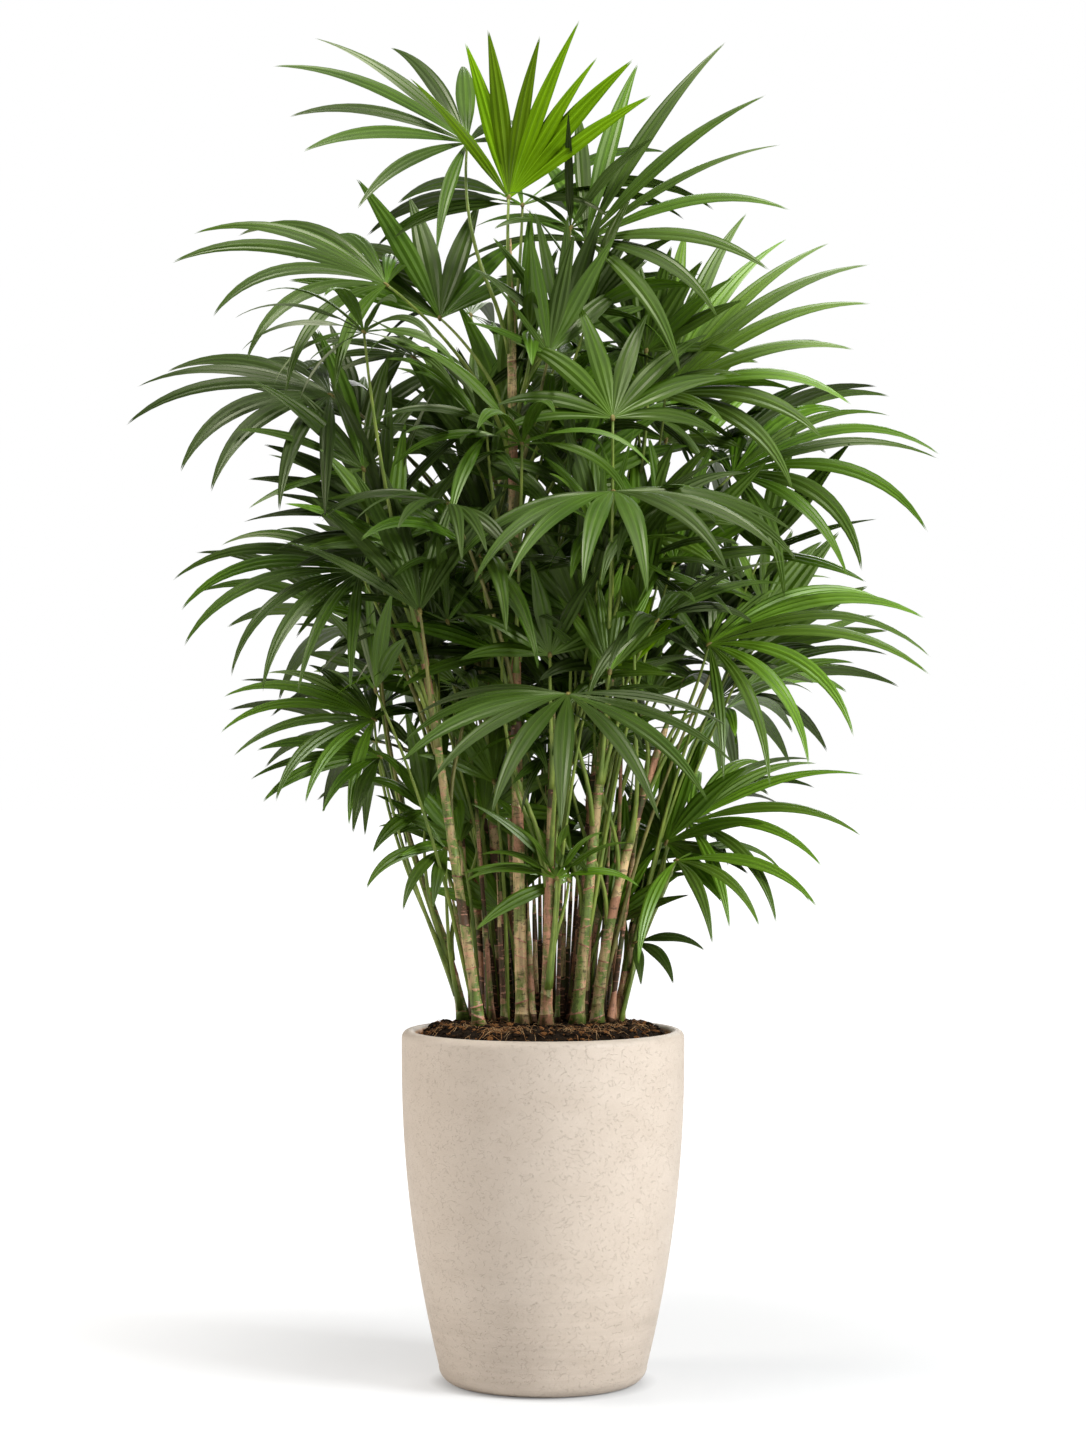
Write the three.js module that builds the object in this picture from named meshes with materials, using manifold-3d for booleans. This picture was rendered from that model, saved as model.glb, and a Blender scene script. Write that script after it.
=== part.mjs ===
// A lady palm in a tall pale pot: a clump of slim canes that carry fans of leaflets on thin stalks.
// Millimetres and degrees. +Z is up, -Y is the front and the origin is the middle of the pot's underside.
import * as THREE from 'three';
import { mergeVertices } from 'three/addons/utils/BufferGeometryUtils.js';
import Module from 'manifold-3d';

const wasm = await Module();
wasm.setup();

// The space between two solids that touch in the real plant, the smallest edge of a solid, and how near
// two corners are that count as one.
const GAP = 0.3;
const FINEST = 0.25;
const SAME_CORNER = 1e-4;

// The pot swells from a small round-edged foot to an upright wall with a round lip.
const POT = {
  height: 474, radius: 190.5, wall: 20, floor: 24, round: 23,
  swellHeight: 430, swell: 55.5, facets: 32, wallSteps: 4, roundSteps: 3, lipSteps: 4,
};

// The soil lies flat under the canes and falls away to the wall.
const SOIL = { top: 482, flatRadius: 142, edgeRadius: 160, edgeDrop: 7, wallDrop: 11 };

// Every cane: where its foot and its tip stand, the tip's height, the foot's and the tip's radius, and
// its curl, which is 1 for an even lean, less where it straightens and more where it bends outwards.
const CANE_COLUMNS = ['footX', 'footY', 'tipX', 'tipY', 'tip', 'footRadius', 'tipRadius', 'curl'];
const CANES = [
  [-109, 55, -141, 62, 612, 7.0, 5.0, 1.2],
  [-85, -35, -169, -38, 1042, 7.5, 5.0, 1.0],
  [-79, 115, -108, 112, 800, 7.0, 5.0, 1.1],
  [-58, 92, -82, 96, 1150, 7.9, 5.4, 1.0],
  [-26, -5, -43, -6, 1470, 8.8, 5.9, 0.6],
  [4, -22, 14, -26, 862, 7.9, 5.4, 1.0],
  [46, -5, 96, -8, 1000, 8.4, 5.4, 1.1],
  [73, 12, 166, 22, 880, 7.9, 5.4, 1.5],
  [102, 55, 126, 62, 612, 7.5, 5.0, 1.0],
  [38, 62, 104, 74, 1190, 7.9, 5.4, 0.9],
  [-28, 62, -58, 150, 1255, 7.5, 5.4, 1.1],
  [4, 104, 16, 200, 1000, 7.5, 5.0, 1.1],
  [62, 100, 128, 182, 1150, 7.5, 5.0, 1.1],
  [-38, 122, -122, 196, 920, 7.0, 5.0, 1.1],
];
const CANE = { sides: 8, rings: 6, spacing: 1.5, flare: 0.45, flareHeight: 16 };

// Every frond: its cane, the height where its stalk leaves the cane, the way the stalk goes and how
// far, the height of the hub, the way the fan aims and its pitch, the angle it opens over, its
// leaflets, their length, how far they bend down and the way its face turns besides up.
// Ways are counted from +X towards +Y, so 270 is the front.
const FROND_COLUMNS = [
  'cane', 'leaves', 'way', 'reach', 'hub', 'aim', 'pitch', 'opens', 'count', 'length', 'droop', 'faces',
];
const FRONDS = [
  [5, 1430, 190, 60, 1668, 176, 42, 200, 10, 285, 42, 270],
  [5, 1458, 262, 22, 1592, 8, 78, 78, 8, 240, 20, 270],
  [5, 1335, 2, 100, 1538, 2, 58, 195, 12, 328, 44, 270],
  [5, 1285, 184, 170, 1477, 178, 34, 168, 10, 285, 68, 270],
  [5, 1310, 150, 115, 1440, 110, 62, 110, 7, 235, 26, 270],
  [4, 1110, 204, 226, 1331, 184, 18, 190, 10, 282, 60, 270],
  [4, 1128, 168, 177, 1306, 118, 66, 105, 7, 176, 26, 270],
  [2, 925, 182, 93, 1090, 178, 20, 200, 12, 284, 62, 270],
  [2, 900, 262, 98, 1034, 150, 72, 84, 6, 208, 30, 270],
  [1, 588, 203, 103, 892, 178, 27, 190, 10, 222, 62, 270],
  [1, 560, 222, 124, 842, 196, 4, 130, 6, 178, 52, 270],
  [1, 540, 258, 46, 717, 190, 18, 170, 6, 138, 64, 270],
  [10, 1120, 342, 72, 1335, 4, 58, 150, 13, 320, 56, 270],
  [7, 960, 270, 116, 1288, 100, 74, 165, 8, 178, 52, 270],
  [5, 1000, 276, 94, 1257, 262, 52, 220, 9, 245, 73, 270],
  [7, 900, 272, 164, 1189, 280, -8, 230, 11, 285, 50, 270],
  [6, 740, 277, 178, 925, 260, -18, 224, 10, 285, 46, 270],
  [8, 830, 352, 76, 994, 356, 28, 190, 12, 325, 66, 270],
  [10, 1010, 350, 172, 1226, 356, 30, 172, 10, 312, 70, 270],
  [9, 588, 358, 78, 751, 0, 32, 170, 9, 240, 62, 270],
  [9, 560, 316, 88, 702, 320, 4, 150, 6, 212, 66, 270],
  [9, 520, 300, 34, 589, 330, 12, 130, 4, 104, 60, 270],
  [6, 600, 40, 36, 675, 166, 48, 140, 6, 175, 36, 270],
  [5, 930, 228, 70, 1110, 236, 44, 240, 9, 245, 70, 270],
  [5, 1080, 240, 72, 1271, 226, 48, 230, 9, 245, 64, 270],
  [7, 850, 318, 36, 955, 60, 76, 60, 5, 118, 12, 270],
  [5, 1400, 80, 82, 1598, 84, 46, 220, 10, 285, 56, 90],
  [11, 1238, 112, 122, 1470, 116, 38, 230, 10, 285, 59, 90],
  [11, 1190, 62, 112, 1432, 60, 38, 230, 10, 290, 59, 90],
  [4, 960, 217, 92, 1112, 165, 50, 135, 8, 270, 44, 270],
  [10, 1150, 72, 122, 1310, 62, 38, 240, 10, 285, 62, 90],
  [13, 1128, 30, 136, 1262, 34, 34, 230, 10, 280, 56, 90],
  [13, 1070, 84, 152, 1180, 86, 30, 240, 10, 285, 62, 90],
  [12, 978, 104, 142, 1128, 104, 30, 240, 10, 285, 62, 90],
  [12, 930, 60, 172, 1012, 56, 24, 230, 10, 280, 59, 90],
  [14, 900, 158, 152, 1022, 160, 30, 230, 10, 270, 56, 90],
  [14, 850, 122, 152, 934, 124, 24, 230, 9, 260, 59, 90],
  [12, 860, 92, 182, 868, 90, 20, 230, 9, 260, 59, 90],
  [3, 780, 166, 132, 862, 164, 32, 230, 9, 240, 56, 90],
  [13, 960, 12, 142, 922, 14, 24, 220, 9, 265, 56, 90],
  [3, 720, 118, 146, 776, 118, 20, 220, 8, 230, 59, 90],
  [12, 740, 68, 164, 742, 68, 16, 220, 8, 225, 59, 90],
  [9, 600, 52, 124, 762, 44, 34, 220, 8, 225, 56, 90],
  [8, 850, 46, 132, 902, 40, 30, 220, 9, 250, 56, 90],
];

// A stalk leaves its cane at a steep angle and thins towards the hub, where the leaflets meet.
const STALK = {
  footRadius: 4.2, tipRadius: 2.4, sides: 4, rings: 4, steepness: 62, rise: 0.55, slopeStep: 1e-3,
  standOffs: [0.4, 0.9, 1.6, 2.6], sways: [0, 18, -18, 36, -36, 60, -60],
  hubRadius: 15, hubThickness: 4.5, hubFacets: 6,
};

// A leaflet is keeled: its section is a triangle whose height is its thickness. Its width is a share of
// the greatest width at each station along it.
const LEAFLET = {
  width: 30, slender: 0.115, thickness: 0.0112, stations: [0, 0.3, 0.66, 1], widths: [0.08, 0.66, 1, 0],
  lean: 0.5, angleJitter: 0.5, lengthJitter: 0.16, droopJitter: 0.4, shortSides: 0.24, shortAngle: 110,
  steepest: 84, stiffest: 0.3, straightest: 0.02, arch: 1.5, strides: 24,
};

// The turns out of its fan's plane, and the sizes, that a leaflet tries until it is clear.
const TRIES = [
  [0, 1], [8, 1], [-8, 1], [16, 0.96], [-16, 0.96], [26, 0.88], [-26, 0.88], [36, 0.76], [-36, 0.76],
];

const COLOURS = {
  pot: { color: 0xcfc3af, roughness: 0.85 },
  soil: { color: 0x3d2a1d, roughness: 1.0 },
  cane: { color: 0x8a8455, roughness: 0.7 },
  frond: { color: 0x2f5c24, roughness: 0.45 },
  youngFrond: { color: 0x6f9e2c, roughness: 0.45 },
};
const YOUNG_FRONDS = [2, 26];

const radians = THREE.MathUtils.degToRad;
const rows = (columns, table) => table.map(
  (row) => Object.fromEntries(row.map((value, i) => [columns[i], value])),
);
const level = (way) => new THREE.Vector3(Math.cos(radians(way)), Math.sin(radians(way)), 0);

// A stream of numbers from 0 to 1 that is the same every time for one seed.
function stream(seed) {
  let state = (seed * 7919 + 12345) % 4294967296;
  return () => {
    state = (state * 1664525 + 1013904223) % 4294967296;
    return state / 4294967296;
  };
}

function material(finish) {
  return new THREE.MeshStandardMaterial({ ...finish, metalness: 0 });
}

// Moves every vertex of a cylinder of height 1 to place(x, share of the height, z).
function bent(cylinder, place) {
  const points = cylinder.attributes.position;
  for (let i = 0; i < points.count; i += 1) {
    const moved = place(points.getX(i), points.getY(i) + 0.5, points.getZ(i));
    points.setXYZ(i, moved.x, moved.y, moved.z);
  }
  return cylinder;
}

function solidOf(geometry) {
  geometry.deleteAttribute('normal');
  geometry.deleteAttribute('uv');
  const merged = mergeVertices(geometry, SAME_CORNER);
  return new wasm.Manifold(new wasm.Mesh({
    numProp: 3,
    vertProperties: new Float32Array(merged.attributes.position.array),
    triVerts: new Uint32Array(merged.index.array),
  }));
}

// A mesh with its origin at `origin`, from a solid in the plant's frame.
function meshOf(name, solid, finish, origin) {
  const made = solid.getMesh();
  const geometry = new THREE.BufferGeometry();
  geometry.setAttribute('position', new THREE.BufferAttribute(new Float32Array(made.vertProperties), 3));
  geometry.setIndex(new THREE.BufferAttribute(new Uint32Array(made.triVerts), 1));
  geometry.translate(-origin.x, -origin.y, -origin.z);
  geometry.computeVertexNormals();
  const mesh = new THREE.Mesh(geometry, material(finish));
  mesh.name = name;
  mesh.position.copy(origin);
  return mesh;
}

// A closed tube round a curve. `across` is a direction that the curve never takes.
function tube(pointAt, radiusAt, sides, rings, across) {
  return bent(new THREE.CylinderGeometry(1, 1, 1, sides, rings), (x, t, z) => {
    const along = pointAt(t + STALK.slopeStep).sub(pointAt(t - STALK.slopeStep)).normalize();
    const first = across.clone().addScaledVector(along, -across.dot(along)).normalize();
    const second = first.clone().cross(along);
    return pointAt(t).addScaledVector(first, x * radiusAt(t)).addScaledVector(second, z * radiusAt(t));
  });
}

function arc(centreX, centreY, radius, from, to, steps) {
  return Array.from({ length: steps + 1 }, (_, i) => {
    const angle = radians(from + ((to - from) * i) / steps);
    return new THREE.Vector2(centreX + radius * Math.cos(angle), centreY + radius * Math.sin(angle));
  });
}

const potRadiusAt = (z) => POT.radius - POT.swell * Math.max(1 - z / POT.swellHeight, 0) ** 2;
const lipBase = POT.height - POT.wall / 2;
const wallHeights = Array.from(
  { length: POT.wallSteps + 1 },
  (_, i) => POT.floor + ((lipBase - POT.floor) * i) / POT.wallSteps,
);

// A lathe profile runs up from the axis. It turns about +Y, so the result is laid over to turn about +Z.
function lathe(profile) {
  const closed = [new THREE.Vector2(0, profile[0].y), ...profile, new THREE.Vector2(0, profile.at(-1).y)];
  return solidOf(new THREE.LatheGeometry(closed, POT.facets).rotateX(Math.PI / 2));
}

function pot() {
  const foot = arc(potRadiusAt(POT.round) - POT.round, POT.round, POT.round, -90, 0, POT.roundSteps);
  const outer = wallHeights.slice(1, -1).map((z) => new THREE.Vector2(potRadiusAt(z), z));
  const lip = arc(POT.radius - POT.wall / 2, lipBase, POT.wall / 2, 0, 180, POT.lipSteps);
  const inner = wallHeights.slice(0, -1).map((z) => new THREE.Vector2(potRadiusAt(z) - POT.wall, z));
  return lathe([...foot, ...outer, ...lip, ...inner.reverse()]);
}

function soil() {
  const clearance = POT.wall + GAP;
  const side = wallHeights.slice(0, -1).map(
    (z, i) => new THREE.Vector2(potRadiusAt(z) - clearance, i === 0 ? z + GAP : z),
  );
  const brim = SOIL.top - SOIL.wallDrop - POT.wall / 2;
  const top = [
    new THREE.Vector2(POT.radius - clearance, brim),
    new THREE.Vector2(SOIL.edgeRadius, SOIL.top - SOIL.edgeDrop),
    new THREE.Vector2(SOIL.flatRadius, SOIL.top),
  ];
  return lathe([...side, ...top]);
}

function caneAxis(cane, z) {
  const foot = SOIL.top + GAP;
  const share = (z - foot) / (cane.tip - foot);
  const lean = Math.sign(share) * Math.abs(share) ** cane.curl;
  return new THREE.Vector3(
    THREE.MathUtils.lerp(cane.footX, cane.tipX, lean),
    THREE.MathUtils.lerp(cane.footY, cane.tipY, lean),
    z,
  );
}

function caneRadius(cane, z) {
  const above = z - SOIL.top;
  const share = above / (cane.tip - SOIL.top);
  const flare = 1 + CANE.flare * Math.exp(-above / CANE.flareHeight);
  return THREE.MathUtils.lerp(cane.footRadius, cane.tipRadius, share) * flare;
}

// Rings stand closer together at the foot, and all lie level, so that the foot is cut flat on the soil.
function caneSolid(cane) {
  const foot = SOIL.top + GAP;
  return solidOf(bent(new THREE.CylinderGeometry(1, 1, 1, CANE.sides, CANE.rings), (x, share, z) => {
    const height = THREE.MathUtils.lerp(foot, cane.tip, share ** CANE.spacing);
    const radius = caneRadius(cane, height);
    return caneAxis(cane, height).add(new THREE.Vector3(x * radius, -z * radius, 0));
  }));
}

// The hub's place, and the unit vectors of the fan that opens there.
function fanOf(frond, cane) {
  const hub = caneAxis(cane, frond.leaves).addScaledVector(level(frond.way), frond.reach).setZ(frond.hub);
  const pitch = radians(frond.pitch);
  const axis = level(frond.aim).multiplyScalar(Math.cos(pitch)).setZ(Math.sin(pitch));
  const towards = level(frond.faces).multiplyScalar(LEAFLET.lean).setZ(1);
  const face = towards.addScaledVector(axis, -towards.dot(axis)).normalize();
  return { hub, axis, face, side: axis.clone().cross(face) };
}

// The stalk's curve: up and out of the cane, then over to the hub. `sway` carries it to one side.
function stalkCurve(frond, cane, fan, sway, standOff) {
  const steep = radians(STALK.steepness);
  const out = level(frond.way);
  const foot = caneAxis(cane, frond.leaves);
  const clear = caneRadius(cane, frond.leaves) + standOff + STALK.footRadius * Math.sin(steep);
  foot.addScaledVector(out, clear);
  const run = foot.distanceTo(fan.hub) * STALK.rise;
  const bend = foot.clone().addScaledVector(out, run * Math.cos(steep)).addScaledVector(
    new THREE.Vector3(0, 0, 1), run * Math.sin(steep));
  bend.addScaledVector(level(frond.way + 90), sway);
  return new THREE.QuadraticBezierCurve3(foot, bend, fan.hub);
}

function stalkSolid(frond, cane, fan, sway, standOff) {
  const curve = stalkCurve(frond, cane, fan, sway, standOff);
  const radiusAt = (t) => THREE.MathUtils.lerp(STALK.footRadius, STALK.tipRadius, t);
  const across = level(frond.way + 90);
  const stem = solidOf(tube((t) => curve.getPoint(t), radiusAt, STALK.sides, STALK.rings, across));
  const turn = new THREE.Matrix4().makeBasis(fan.side, fan.axis, fan.face).setPosition(fan.hub);
  const knob = new THREE.SphereGeometry(1, STALK.hubFacets, 2).rotateX(Math.PI / 2);
  knob.scale(STALK.hubRadius, STALK.hubRadius, STALK.hubThickness).applyMatrix4(turn);
  return stem.add(solidOf(knob));
}

// The leaflets of a fan before any is turned clear: their angle in it, length and bend.
function leafletsOf(frond, seed) {
  const random = stream(seed);
  return Array.from({ length: frond.count }, (_, i) => {
    const place = i / (frond.count - 1) - 0.5;
    const angle = frond.opens * (place + (LEAFLET.angleJitter * (random() - 0.5)) / (frond.count - 1));
    const short = 1 - LEAFLET.shortSides * ((frond.opens * place) / LEAFLET.shortAngle) ** 2;
    const length = frond.length * short * (1 + LEAFLET.lengthJitter * (random() - 0.5));
    const droop = frond.droop * (1 + LEAFLET.droopJitter * (random() - 0.5));
    return { angle, length, droop };
  });
}

// A leaflet's centre line bends down in its own upright plane, more and more towards the tip, and its
// blade turns with it. One that stands upright bends least.
function leafletFrame(leaflet, fan, lift, size) {
  const angle = radians(leaflet.angle);
  const flat = fan.axis.clone().multiplyScalar(Math.cos(angle)).addScaledVector(fan.side, Math.sin(angle));
  const start = flat.clone().multiplyScalar(Math.cos(radians(lift))).addScaledVector(
    fan.face, Math.sin(radians(lift)));
  const rise = Math.asin(start.z);
  const heading = Math.atan2(start.y, start.x);
  const weight = THREE.MathUtils.lerp(LEAFLET.stiffest, 1, Math.cos(rise));
  const most = rise + radians(LEAFLET.steepest);
  const bend = Math.max(Math.min(radians(leaflet.droop) * weight, most), LEAFLET.straightest);
  const hinge = new THREE.Vector3(-Math.sin(heading), Math.cos(heading), 0);
  const across = flat.clone().cross(fan.face);
  return (share) => {
    const stride = (leaflet.length * size * share) / LEAFLET.strides;
    const centre = fan.hub.clone();
    for (let i = 0.5; i < LEAFLET.strides; i += 1) {
      const passed = (share * i) / LEAFLET.strides;
      centre.addScaledVector(start.clone().applyAxisAngle(hinge, bend * passed ** LEAFLET.arch), stride);
    }
    const turn = bend * share ** LEAFLET.arch;
    const along = start.clone().applyAxisAngle(hinge, turn);
    const side = across.clone().applyAxisAngle(hinge, turn);
    return { centre, side, up: side.clone().cross(along) };
  };
}

// The width and the height of an even triangle in a circle of radius 1.
const TRIANGLE = { width: Math.sqrt(3), height: 1.5 };

function leafletSolid(leaflet, fan, lift, size) {
  const frameAt = leafletFrame(leaflet, fan, lift, size);
  const length = leaflet.length * size;
  const width = Math.min(LEAFLET.width, length * LEAFLET.slender);
  const thickness = length * LEAFLET.thickness;
  const last = LEAFLET.stations.length - 1;
  const cone = new THREE.CylinderGeometry(0, 1, 1, 3, last, false, Math.PI);
  return solidOf(bent(cone, (x, share, z) => {
    const station = Math.round(share * last);
    const { centre, side, up } = frameAt(LEAFLET.stations[station]);
    if (station === last) {
      return centre;
    }
    const reach = (width * LEAFLET.widths[station]) / TRIANGLE.width / (1 - share);
    const depth = thickness / TRIANGLE.height / (1 - share);
    return centre.addScaledVector(side, x * reach).addScaledVector(up, z * depth);
  }));
}

// Solids that are placed already, with the box of each, so that the next keeps clear of them. A space
// is measured only where it is smaller than the search.
const SEARCH = 2 * GAP;
const placed = [];
function boxOf(solid) {
  const { min, max } = solid.boundingBox();
  return new THREE.Box3(new THREE.Vector3(...min), new THREE.Vector3(...max));
}
function isClear(solid, owner) {
  const box = boxOf(solid).expandByScalar(GAP);
  return !placed.some((other) => other.owner !== owner && other.box.intersectsBox(box)
    && solid.minGap(other.solid, SEARCH) < GAP);
}
function firstClear(tries, owner, make) {
  for (const choice of tries) {
    const solid = make(choice);
    if (isClear(solid, owner)) {
      return solid;
    }
  }
  return null;
}
function keep(solid, owner) {
  placed.push({ solid, owner, box: boxOf(solid) });
  return solid;
}

const plant = new THREE.Group();
plant.add(meshOf('pot', keep(pot(), 'pot'), COLOURS.pot, new THREE.Vector3()));
plant.add(meshOf('soil', keep(soil(), 'soil'), COLOURS.soil, new THREE.Vector3(0, 0, POT.floor)));

const canes = rows(CANE_COLUMNS, CANES);
canes.forEach((cane, i) => {
  const name = `cane_${String(i + 1).padStart(2, '0')}`;
  const foot = new THREE.Vector3(cane.footX, cane.footY, SOIL.top + GAP);
  plant.add(meshOf(name, keep(caneSolid(cane), name), COLOURS.cane, foot));
});

// All the stalks come before the first leaflet, so that a leaflet never takes a stalk's way.
const fronds = rows(FROND_COLUMNS, FRONDS).map((frond, i) => {
  const name = `frond_${String(i + 1).padStart(2, '0')}`;
  const cane = canes[frond.cane - 1];
  const fan = fanOf(frond, cane);
  const tries = STALK.sways.flatMap((sway) => STALK.standOffs.map((standOff) => [sway, standOff]));
  const stalk = firstClear(tries, name, ([sway, standOff]) => stalkSolid(frond, cane, fan, sway, standOff));
  if (!stalk) {
    throw new Error(`${name} has no clear way for its stalk`);
  }
  return { name, frond, fan, seed: i + 1, parts: [keep(stalk, name)] };
});

fronds.forEach(({ name, frond, fan, seed, parts }) => {
  leafletsOf(frond, seed).forEach((leaflet) => {
    const blade = firstClear(TRIES, name, ([lift, size]) => leafletSolid(leaflet, fan, lift, size));
    if (blade) {
      parts.push(keep(blade, name));
    }
  });
  const finish = YOUNG_FRONDS.includes(seed) ? COLOURS.youngFrond : COLOURS.frond;
  plant.add(meshOf(name, wasm.Manifold.union(parts).simplify(FINEST), finish, fan.hub));
});

export default plant;
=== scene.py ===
"""A lady palm in a tall pale pot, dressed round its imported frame.

Metres and degrees. +Z is up, -Y is the front and the origin is the middle of the pot's underside.
The canes, stalks and leaflets grow by the same rule as the solids, carried on to pleated blades.
"""

from __future__ import annotations

import logging
import math
from dataclasses import dataclass, field
from enum import Enum
from typing import Iterator, NamedTuple, Sequence, Union

import bmesh
import bpy
import numpy as np
from mathutils import Matrix, Vector, noise
from mathutils.kdtree import KDTree

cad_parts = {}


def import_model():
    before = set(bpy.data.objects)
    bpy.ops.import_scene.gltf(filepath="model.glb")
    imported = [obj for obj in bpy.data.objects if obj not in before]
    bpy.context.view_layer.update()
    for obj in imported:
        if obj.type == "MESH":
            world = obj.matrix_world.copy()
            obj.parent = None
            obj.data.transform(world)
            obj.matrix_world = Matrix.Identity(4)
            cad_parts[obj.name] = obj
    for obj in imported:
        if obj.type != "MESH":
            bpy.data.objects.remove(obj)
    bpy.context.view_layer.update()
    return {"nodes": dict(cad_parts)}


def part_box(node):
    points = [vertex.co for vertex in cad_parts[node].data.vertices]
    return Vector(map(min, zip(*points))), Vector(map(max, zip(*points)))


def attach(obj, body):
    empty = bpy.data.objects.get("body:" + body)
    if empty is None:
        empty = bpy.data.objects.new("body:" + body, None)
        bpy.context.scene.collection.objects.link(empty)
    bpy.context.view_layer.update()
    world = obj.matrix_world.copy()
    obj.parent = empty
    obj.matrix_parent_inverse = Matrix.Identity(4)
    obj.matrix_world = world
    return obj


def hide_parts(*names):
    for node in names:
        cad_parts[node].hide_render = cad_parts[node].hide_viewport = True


LOG = logging.getLogger("lady_palm")
BODY = "root"
BLADE_MAP = "blade"
SOIL_CLEAR = 0.001
UP = np.array((0.0, 0.0, 1.0))
EVEN = (1.0, 1.0, 1.0)
Colour = tuple[float, float, float]
Pair = tuple[float, float]
# From low and from high, and then to low and to high where these are not 0 and 1.
Spread = tuple[float, ...]


class Tone(Enum):
    """The age of a frond, which sets its green."""

    OLD = "old"
    GROWN = "grown"
    FRESH = "fresh"
    YOUNG = "young"


class Skin(Enum):
    """What covers a stretch of cane."""

    GREEN = 0
    RING = 1
    STRAW = 2
    RUSSET = 3
    # Dark brown stretches that are painted shade on canes at the back and among the others.
    DARK = 4


# --------------------------------------------------------------------------------------------------
# Growth: the rule that the solids follow
# --------------------------------------------------------------------------------------------------


class Stream:
    """A stream of numbers from 0 to 1 that is the same every time for one seed."""

    SPAN = 4294967296
    SEED_TIMES, SEED_PLUS = 7919, 12345
    NEXT_TIMES, NEXT_PLUS = 1664525, 1013904223

    def __init__(self, seed: int) -> None:
        """Starts the stream.

        Args:
            seed: A whole number that picks the stream.
        """
        self.state = (seed * self.SEED_TIMES + self.SEED_PLUS) % self.SPAN

    def next(self) -> float:
        """The next number."""
        self.state = (self.state * self.NEXT_TIMES + self.NEXT_PLUS) % self.SPAN
        return self.state / self.SPAN

    def between(self, low: float, high: float) -> float:
        """The next number, from low to high."""
        return low + (high - low) * self.next()

    def pick(self, options: Sequence) -> object:
        """One of the options."""
        return options[int(self.next() * len(options))]


class Cane(NamedTuple):
    """Where a cane's foot and tip stand, its tip's height, its radii and how it curls."""

    foot_x: float
    foot_y: float
    tip_x: float
    tip_y: float
    tip: float
    foot_radius: float
    tip_radius: float
    curl: float
    skins: str


class Frond(NamedTuple):
    """A frond: its cane, where its stalk leaves and leads, and how its fan is set and filled."""

    cane: int
    leaves: float
    way: float
    reach: float
    hub: float
    aim: float
    pitch: float
    opens: float
    count: int
    length: float
    droop: float
    faces: float


# The canes of the solids, in the order of their nodes. In their skins, d is a dark brown painted shade, which
# the canes at the back carry most.
CANES = [
    Cane(-0.109, 0.055, -0.141, 0.062, 0.612, 0.0070, 0.0050, 1.2, "grs"),
    Cane(-0.085, -0.035, -0.169, -0.038, 1.042, 0.0075, 0.0050, 1.0, "ggu"),
    Cane(-0.079, 0.115, -0.108, 0.112, 0.800, 0.0070, 0.0050, 1.1, "dud"),
    Cane(-0.058, 0.092, -0.082, 0.096, 1.150, 0.0079, 0.0054, 1.0, "dus"),
    Cane(-0.026, -0.005, -0.043, -0.006, 1.470, 0.0088, 0.0059, 0.6, "sgs"),
    Cane(0.004, -0.022, 0.014, -0.026, 0.862, 0.0079, 0.0054, 1.0, "uus"),
    Cane(0.046, -0.005, 0.096, -0.008, 1.000, 0.0084, 0.0054, 1.1, "ggs"),
    Cane(0.073, 0.012, 0.166, 0.022, 0.880, 0.0079, 0.0054, 1.5, "gsu"),
    Cane(0.102, 0.055, 0.126, 0.062, 0.612, 0.0075, 0.0050, 1.0, "sgg"),
    Cane(0.038, 0.062, 0.104, 0.074, 1.190, 0.0079, 0.0054, 0.9, "udg"),
    Cane(-0.028, 0.062, -0.058, 0.150, 1.255, 0.0075, 0.0054, 1.1, "dug"),
    Cane(0.004, 0.104, 0.016, 0.200, 1.000, 0.0075, 0.0050, 1.1, "dgs"),
    Cane(0.062, 0.100, 0.128, 0.182, 1.150, 0.0075, 0.0050, 1.1, "uds"),
    Cane(-0.038, 0.122, -0.122, 0.196, 0.920, 0.0070, 0.0050, 1.1, "dgu"),
]

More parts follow.
